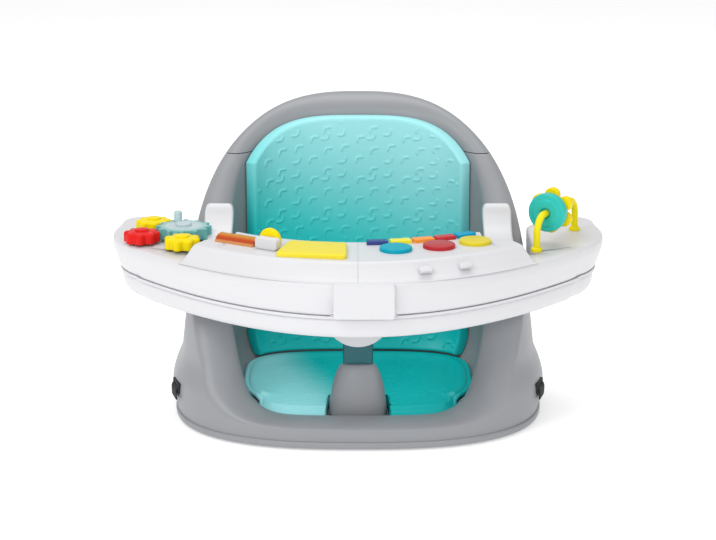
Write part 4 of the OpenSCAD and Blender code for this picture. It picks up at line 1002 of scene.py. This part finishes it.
# Piano keys: sectors of a ring about the middle of the tray's inner edge
keys = {"in": 8.4, "out": 20.5, "pitch": 6.75, "start": 5.45, "gap": 0.35, "rise": 4.0,
        "soft": 2.5, "edge": 1.0, "crown": 0.25, "each": (navy, keyYellow, orange, keyRed, keyBlue)}
for i, mat in enumerate(keys["each"]):
    middle = keys["start"] + keys["pitch"] * i
    reach = keys["pitch"] / 2 - keys["gap"]
    a = np.radians(np.linspace(middle - reach, middle + reach, 40))
    sector = np.vstack([trayArc(tray["innerR"] + keys["out"], a),
                        trayArc(tray["innerR"] + keys["in"], a)[::-1]])
    part = prism(smoothLoop(resample(sector, 220), keys["soft"]), panelTop - sink,
                 panelTop + keys["rise"], edge=keys["edge"], crown=keys["crown"])
    piece(f"pianoKey{i + 1}", f"key_{i + 1}", [f"piano_key_{i + 1}"], part, mat)

lightKey = {"corners": [[-81, -143], [-17, -154], [-17, -108], [-70, -99]], "r": 5, "rise": 5,
            "edge": 1.6, "crown": 0.6}
lightOutline = resample(roundedPolygon(lightKey["corners"], lightKey["r"], 12), 240)
piece("lightKey", "light_key", ["light_key"],
      prism(lightOutline, panelTop - sink, panelTop + lightKey["rise"], edge=lightKey["edge"],
            crown=lightKey["crown"]), lightYellow)

# Switches on the front slope, each square to it and to the panel's front edge
switch = {"z": 206.0, "size": (14, 7, 1.6), "low": 1.0, "high": 5.2, "edge": 1.0, "crown": 0.2,
          "tilt": 40.0, "each": (("volume", 70.0), ("mode", 112.0))}
for label, x in switch["each"]:
    spot = (x, float(panelEdge(x, (switch["z"] - case["deck"]) / panel["h"])), switch["z"])
    turned = turnMatrix((0, 0, 1), math.degrees(math.atan(2 * panel["bow"] * x)))
    part = prism(roundedRect(*switch["size"]), switch["low"], switch["high"],
                 edge=switch["edge"], crown=switch["crown"])
    piece(label + "Switch", label + "_knob", [label + "_switch"],
          place(part, spot, turned @ turnMatrix((1, 0, 0), switch["tilt"])), whiteTray)

# Front latch: a rounded plate that stands across the front edge
latch = {"size": (64, 38, 3.2), "t": 8, "edge": 2.2, "backEdge": 0.6, "at": (6.5, -195, 182)}
latchPart = prism(resample(roundedRect(*latch["size"]), 260), 0, latch["t"], edge=latch["edge"],
                  lowEdge=latch["backEdge"])
piece("frontLatch", "latch", ["front_latch"], place(latchPart, latch["at"], upFront), whiteTray)

# Gears. The clear one has a peg (place, radius, top and edge) in its middle and a knob to turn it
gear = {"z": 201.6, "t": 12.6, "mesh": 50.0, "teeth": 12, "lobes": 8, "drive": (-196.0, 0.0),
        "core": 3.5, "ring": 1.9, "tooth": 3.3, "edge": 1.0,
        "pegs": ((0, 0, 9.0, 3.5, 1.5), (-8, 20, 4.5, 12.0, 1.6))}
flower = {"core": 3.4, "ring": 4.6, "lobe": 5.0, "soft": 3.0, "low": 1.0, "edge": 3.2,
          "crown": 1.2, "hubR": 8, "hubRise": 1.6, "hubEdge": 1.2, "hubCrown": 0.6,
          "each": (("left", 206.0, red), ("front", 273.0, yellow), ("back", 138.0, yellow))}
driveR = gear["mesh"] * gear["teeth"] / (gear["teeth"] + gear["lobes"])
flowerR = gear["mesh"] - driveR
# Clear ABS, tinted deeper towards the teeth, where there is more of it to look through
clearTeal = banded("clear teal plastic", [
    (0.0, "#d4e6ea"), (19.0, "#cfe4e7"), (23.0, "#a3d6d4"), (28.0, "#74c2c1")],
    radiusFrom(*gear["drive"]))


def lobedOutline(core, ring, lobe, count, spread=1.5, points=480):
    # Farthest point, seen from the middle, of a disc and of `count` round lobes on a ring
    a = tau * np.arange(points) / points
    off = np.abs((a + math.pi / count) % (tau / count) - math.pi / count)
    inside = lobe**2 - (ring * np.sin(off))**2
    reach = np.where(inside > 0, ring * np.cos(off) + np.sqrt(np.maximum(inside, 0)), 0)
    r = np.maximum(core, reach)
    return smoothLoop(np.column_stack([r * np.cos(a), r * np.sin(a)]), spread)


driveParts = [prism(lobedOutline(driveR - gear["core"], driveR - gear["ring"], gear["tooth"],
                                 gear["teeth"]), 0, gear["t"], edge=gear["edge"])]
driveParts += [place(prism(circle(r, 72), gear["t"] - 0.5, gear["t"] + rise, edge=edge), (x, y, 0))
               for x, y, r, rise, edge in gear["pegs"]]
piece("driveGear", "drive_gear", ["drive_gear"],
      [place(p, (*gear["drive"], gear["z"])) for p in driveParts], clearTeal)

flowerParts = [
    prism(lobedOutline(flowerR - flower["core"], flowerR - flower["ring"], flower["lobe"],
                       gear["lobes"], flower["soft"]), 0, gear["t"] - flower["low"],
          edge=flower["edge"], crown=flower["crown"]),
    prism(circle(flower["hubR"], 80), gear["t"] - 0.5, gear["t"] + flower["hubRise"],
          edge=flower["hubEdge"], crown=flower["hubCrown"])]
for label, direction, mat in flower["each"]:
    spot = (*(np.array(gear["drive"]) + gear["mesh"] * heading(direction)), gear["z"])
    # Half a lobe on from facing the middle, and on by the share of a tooth that the drive shows
    spin = (direction - 180 + 180 / gear["lobes"]
            + gear["teeth"] / gear["lobes"] * (direction % (360 / gear["teeth"])))
    piece(label + "Flower", label + "_flower", ["flower_gear_" + label],
          [place(p, spot, turnMatrix((0, 0, 1), spin)) for p in flowerParts], mat)

# Roller, with a shallow wave along its length, and the ears that hold it
roller = {"at": (-128.5, -85.0), "turn": -32.0, "z": 212.5, "r": 12.0, "len": 50.0, "axle": 2.08,
          "edge": 1.2, "wave": 0.25, "ear": (17.5, 10, 4.5, 8), "earT": 3, "earEdge": 0.7,
          "earGap": 0.5, "earUp": 2.2}
# Clear ABS again. The bright bands are painted highlights along its edges, the dark ones the
# shaft painted as seen through it
amber = banded("amber plastic", [
    (2.0, "#cf7a22"), (5.2, "#f0a868"), (7.4, "#c8400f"), (9.6, "#d2540f"), (11.2, "#e08a1c"),
    (12.0, "#d9a21e")], heightFrom(roller["z"]))
flat = turnMatrix((0, 1, 0), 90)
rollerTurn = turnMatrix((0, 0, 1), roller["turn"])
half = roller["len"] / 2
zs = np.linspace(-half + roller["edge"], half - roller["edge"], 120)
wave = roller["r"] - roller["wave"] * (1 - np.cos(zs / half * math.pi * 4)) / 2
a = quarter(6)
cornerR, cornerZ = roller["edge"] * (1 - np.cos(a)), half - roller["edge"] * (1 - np.sin(a))
rollProfile = np.vstack([
    np.column_stack([wave, zs]), np.column_stack([wave[-1] - cornerR, cornerZ]),
    [[roller["axle"], half]], [[roller["axle"], -half]],
    np.column_stack([wave[0] - cornerR, -cornerZ])[::-1]])
rollerSpot = (*roller["at"], roller["z"])
piece("rollerDrum", "roller", ["roller_drum"],
      place(lathe(rollProfile, 120), rollerSpot, rollerTurn @ flat), amber)
ear = prism(resample(roundedRect(*roller["ear"]), 120), 0, roller["earT"], edge=roller["earEdge"])
earZ = half + roller["earGap"] + roller["earT"] / 2
ears = [place(place(ear, (roller["earUp"], 0, side * earZ - roller["earT"] / 2)), rollerSpot,
              rollerTurn @ flat) for side in (-1, 1)]
piece("rollerBracket", "tray", ["roller_bracket"], ears, whiteTray)

# Ring beyond the roller's end, and the white boss in front of it that holds its hub
ring = {"past": 16, "up": 8, "hole": 4.08, "r": 13.3, "t": 7.0, "edge": 2.6, "bevel": 0.6}
hub = {"boss": (28, 13, 4.0, 8), "bossT": 9, "bossEdge": 1.6, "bossAt": (2.0, -1.5, 3.9),
       "shaft": (4.0, -4.0, 4.2, 0.3), "head": (5.5, -5.9, -3.9, 0.6)}
ringAt = np.array(roller["at"]) + (half + ring["past"]) * heading(roller["turn"])
ringSpot = (*ringAt, panelTop + ring["up"])
ringTurn = rollerTurn @ upFront
a = quarter(7)
out, side, bevel = ring["r"] - ring["edge"], ring["t"] / 2, ring["bevel"]
upper = np.column_stack([out + ring["edge"] * np.cos(a), side + ring["edge"] * (np.sin(a) - 1)])
ringProfile = np.vstack([
    upper[::-1] * [1, -1], upper, [[ring["hole"] + bevel, side], [ring["hole"], side - bevel],
                                   [ring["hole"], bevel - side], [ring["hole"] + bevel, -side]]])
piece("clickerRing", "ring", ["clicker_ring"], place(lathe(ringProfile), ringSpot, ringTurn),
      yellow)
hubParts = [place(prism(resample(roundedRect(*hub["boss"]), 140), 0, hub["bossT"],
                        edge=hub["bossEdge"]), hub["bossAt"])]
hubParts += [prism(circle(r, 64), low, high, edge=edge)
             for r, low, high, edge in (hub["shaft"], hub["head"])]
piece("clickerHub", "tray", ["clicker_hub"], [place(p, ringSpot, ringTurn) for p in hubParts],
      whiteTray)

# Bead arch: a bent tube between two collars. The frame of the arch has x along its span
arch = {"a": np.array([196.0, -58.0]), "b": np.array([248.0, 40.0]), "top": 237.0, "bend": 18.0,
        "d": 7.6, "gap": 0.08, "collar": 2.5, "collarTop": 203.6, "collarEdge": 1.8}
span = float(np.linalg.norm(arch["b"] - arch["a"]))
archTurn = turnMatrix((0, 0, 1), math.degrees(math.atan2(*(arch["b"] - arch["a"])[::-1])))
archSpot = (*arch["a"], 0)
bend, shoulder = arch["bend"], arch["top"] - arch["bend"]


def inArch(part):
    return place(part, archSpot, archTurn)


# Line of the arch as (along, up): leg, bend, top, bend, leg
a = quarter(28)
leg = np.linspace(case["deck"], shoulder, 12)
archLine = np.vstack([
    np.column_stack([0 * leg, leg]),
    np.column_stack([bend - bend * np.cos(a), shoulder + bend * np.sin(a)])[1:],
    np.column_stack([np.linspace(bend, span - bend, 20), np.full(20, arch["top"])])[1:],
    np.column_stack([span - bend + bend * np.sin(a), shoulder + bend * np.cos(a)])[1:],
    np.column_stack([span + 0 * leg, leg[::-1]])[1:]])
archPath = np.column_stack([archLine[:, 0], np.zeros(len(archLine)), archLine[:, 1]])
collar = prism(circle(arch["d"] / 2 + arch["collar"], 72), case["deck"], arch["collarTop"],
               edge=arch["collarEdge"])
piece("beadArch", "tray", ["bead_arch"],
      [inArch(tube(archPath, arch["d"] / 2, 40)), *(inArch(place(collar, (foot, 0, 0)))
                                                    for foot in (0, span))], tubeYellow)

# Disc bead with a rounded rim, a raised middle on both sides and a dished hole
disc = {"r": 21.5, "rim": 2.5, "t": 11.0, "past": 6, "count": 140}
hole = arch["d"] / 2 + arch["gap"]
a = quarter(8)
discProfile = np.vstack([
    np.column_stack([disc["r"] - disc["rim"] * (1 - np.sin(a)), disc["rim"] * (1 - np.cos(a))]),
    np.column_stack([disc["r"] - disc["rim"] * (1 - np.cos(a)),
                     disc["t"] - disc["rim"] * (1 - np.sin(a))]),
    [[16.2, 11.0], [15.5, 11.3], [15.0, 12.2], [14.0, 13.0], [hole + 0.6, 13.0],
     [hole, 12.4], [hole, 1.2], [6.0, 0.6], [6.3, -1.6], [6.9, -2.0], [14.0, -2.0],
     [15.0, -1.2], [15.5, -0.3], [16.2, 0.0]]])
discAt = bend + disc["past"]
piece("beadDisc", "disc", ["bead_disc"],
      inArch(place(lathe(discProfile, disc["count"]), (discAt, 0, arch["top"]), flat)), tealToy)

# Petal bead: six lobes whose edges are rounded by insets at (inset, height)
petal = {"core": 6.0, "ring": 4.5, "lobe": 8.5, "count": 6, "soft": 2.0, "gap": 3, "t": 9.0,
         "levels": ((1.6, 0.0), (0.5, 0.5), (0, 1.6), (0, 7.4), (0.5, 8.5), (1.6, 9.0))}
petalOutline = lobedOutline(disc["r"] - petal["core"], disc["r"] - petal["ring"], petal["lobe"],
                            petal["count"], petal["soft"])
petalRings = [atHeight(insetOutline(petalOutline, g), z) for g, z in petal["levels"]]
petalRings += [atHeight(circle(hole, len(petalOutline)), z) for z in (petal["t"], 0.0)]
petalAt = discAt + disc["t"] + petal["gap"]
piece("beadPetals", "petals", ["bead_flower"],
      inArch(place(torusLoft(petalRings), (petalAt, 0, arch["top"]), flat)), yellow)


print("CAD nodes that show as they are")
shown = {
    "foot_pads": blackRubber, "base_screws": steel, "toy_tray_bottom": whiteTray,
    "case_screws": steel, "latch_pin": steel, "gear_posts": steel, "roller_axle": steel,
    "circuit_board": boardGreen, "contact_domes": silicone, "speaker": darkPart,
    "batteries": darkPart, "battery_contacts": steel, "battery_door": whiteTray}
for name, mat in shown.items():
    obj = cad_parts[name]
    obj.data.materials.clear()
    obj.data.materials.append(mat)


print("stage")
# Lights are (name, place, aim, size in metres, power in watts); the camera's focal length and the
# picture's width are in pixels
stage = {"camera": (0.0, -2.109, 0.727), "target": (0.0, 0.016, 0.158), "focal": 1929.0,
         "pixels": 716.0, "clip": 50, "floor": 12.0, "glow": 0.36, "sky": 0.62,
         "lights": (("key", (-1.5, -1.6, 2.2), (0, 0, 0.15), 1.3, 24),
                    ("front", (-0.5, -2.6, 1.0), (0, 0, 0.15), 0.9, 11.5),
                    ("fill", (1.9, -1.9, 1.1), (0, 0, 0.15), 1.8, 8),
                    ("top", (0.0, 0.6, 2.6), (0, 0, 0.1), 2.0, 27))}


def floorMaterial(name):
    # White paper sweep: it glows a little of its own, so that only the shadow is seen on it
    mat = blank(name)
    coords = node(mat, "ShaderNodeTexCoord").outputs["Object"]
    drift = node(mat, "ShaderNodeTexNoise", [("Vector", coords)], Scale=3.0)
    tone = node(mat, "ShaderNodeMapRange", [("Value", drift.outputs["Fac"])], To_Min=0.86,
                To_Max=0.9)
    shader = node(mat, "ShaderNodeBsdfPrincipled", [("Base Color", tone.outputs["Result"])],
                  Roughness=0.9, Emission_Color=(1, 1, 1, 1), Emission_Strength=stage["glow"])
    return finishMaterial(mat, shader)


def stand(name, data, spot, target=None):
    # Puts an object in the scene, and turns it so that its -z axis looks at the target
    obj = bpy.data.objects.new(name, data)
    bpy.context.scene.collection.objects.link(obj)
    obj.location = spot
    if target is not None:
        way = np.array(target) - np.array(spot)
        obj.rotation_euler = (math.atan2(math.hypot(way[0], way[1]), -way[2]), 0,
                              math.atan2(-way[0], way[1]))
    return obj


floorMesh = bpy.data.meshes.new("floor")
f = stage["floor"]
floorMesh.from_pydata([(-f, -f, 0), (f, -f, 0), (f, f, 0), (-f, f, 0)], [], [(0, 1, 2, 3)])
floorMesh.materials.append(floorMaterial("white floor"))
stand("floor", floorMesh, (0, 0, 0))

for name, spot, target, size, power in stage["lights"]:
    light = bpy.data.lights.new(name, "AREA")
    light.shape, light.size, light.energy = "DISK", size, power
    stand(name, light, spot, target)

# World: white to the camera, a little darker as a light
world = bpy.data.worlds.new("studio")
bpy.context.scene.world = world
world.use_nodes = True
world.node_tree.nodes.clear()
rays = node(world, "ShaderNodeLightPath")
levels = node(world, "ShaderNodeMapRange", [("Value", rays.outputs["Is Camera Ray"])],
              To_Min=stage["sky"])
sky = node(world, "ShaderNodeBackground", [("Strength", levels.outputs["Result"])],
           Color=(1, 1, 1, 1))
node(world, "ShaderNodeOutputWorld", [("Surface", sky.outputs[0])])

cameraData = bpy.data.cameras.new("camera")
cameraData.lens = stage["focal"] / stage["pixels"] * cameraData.sensor_width
cameraData.clip_end = stage["clip"]
camera = stand("camera", cameraData, stage["camera"], stage["target"])
bpy.context.scene.camera = camera
bpy.context.scene.view_settings.view_transform = "Standard"
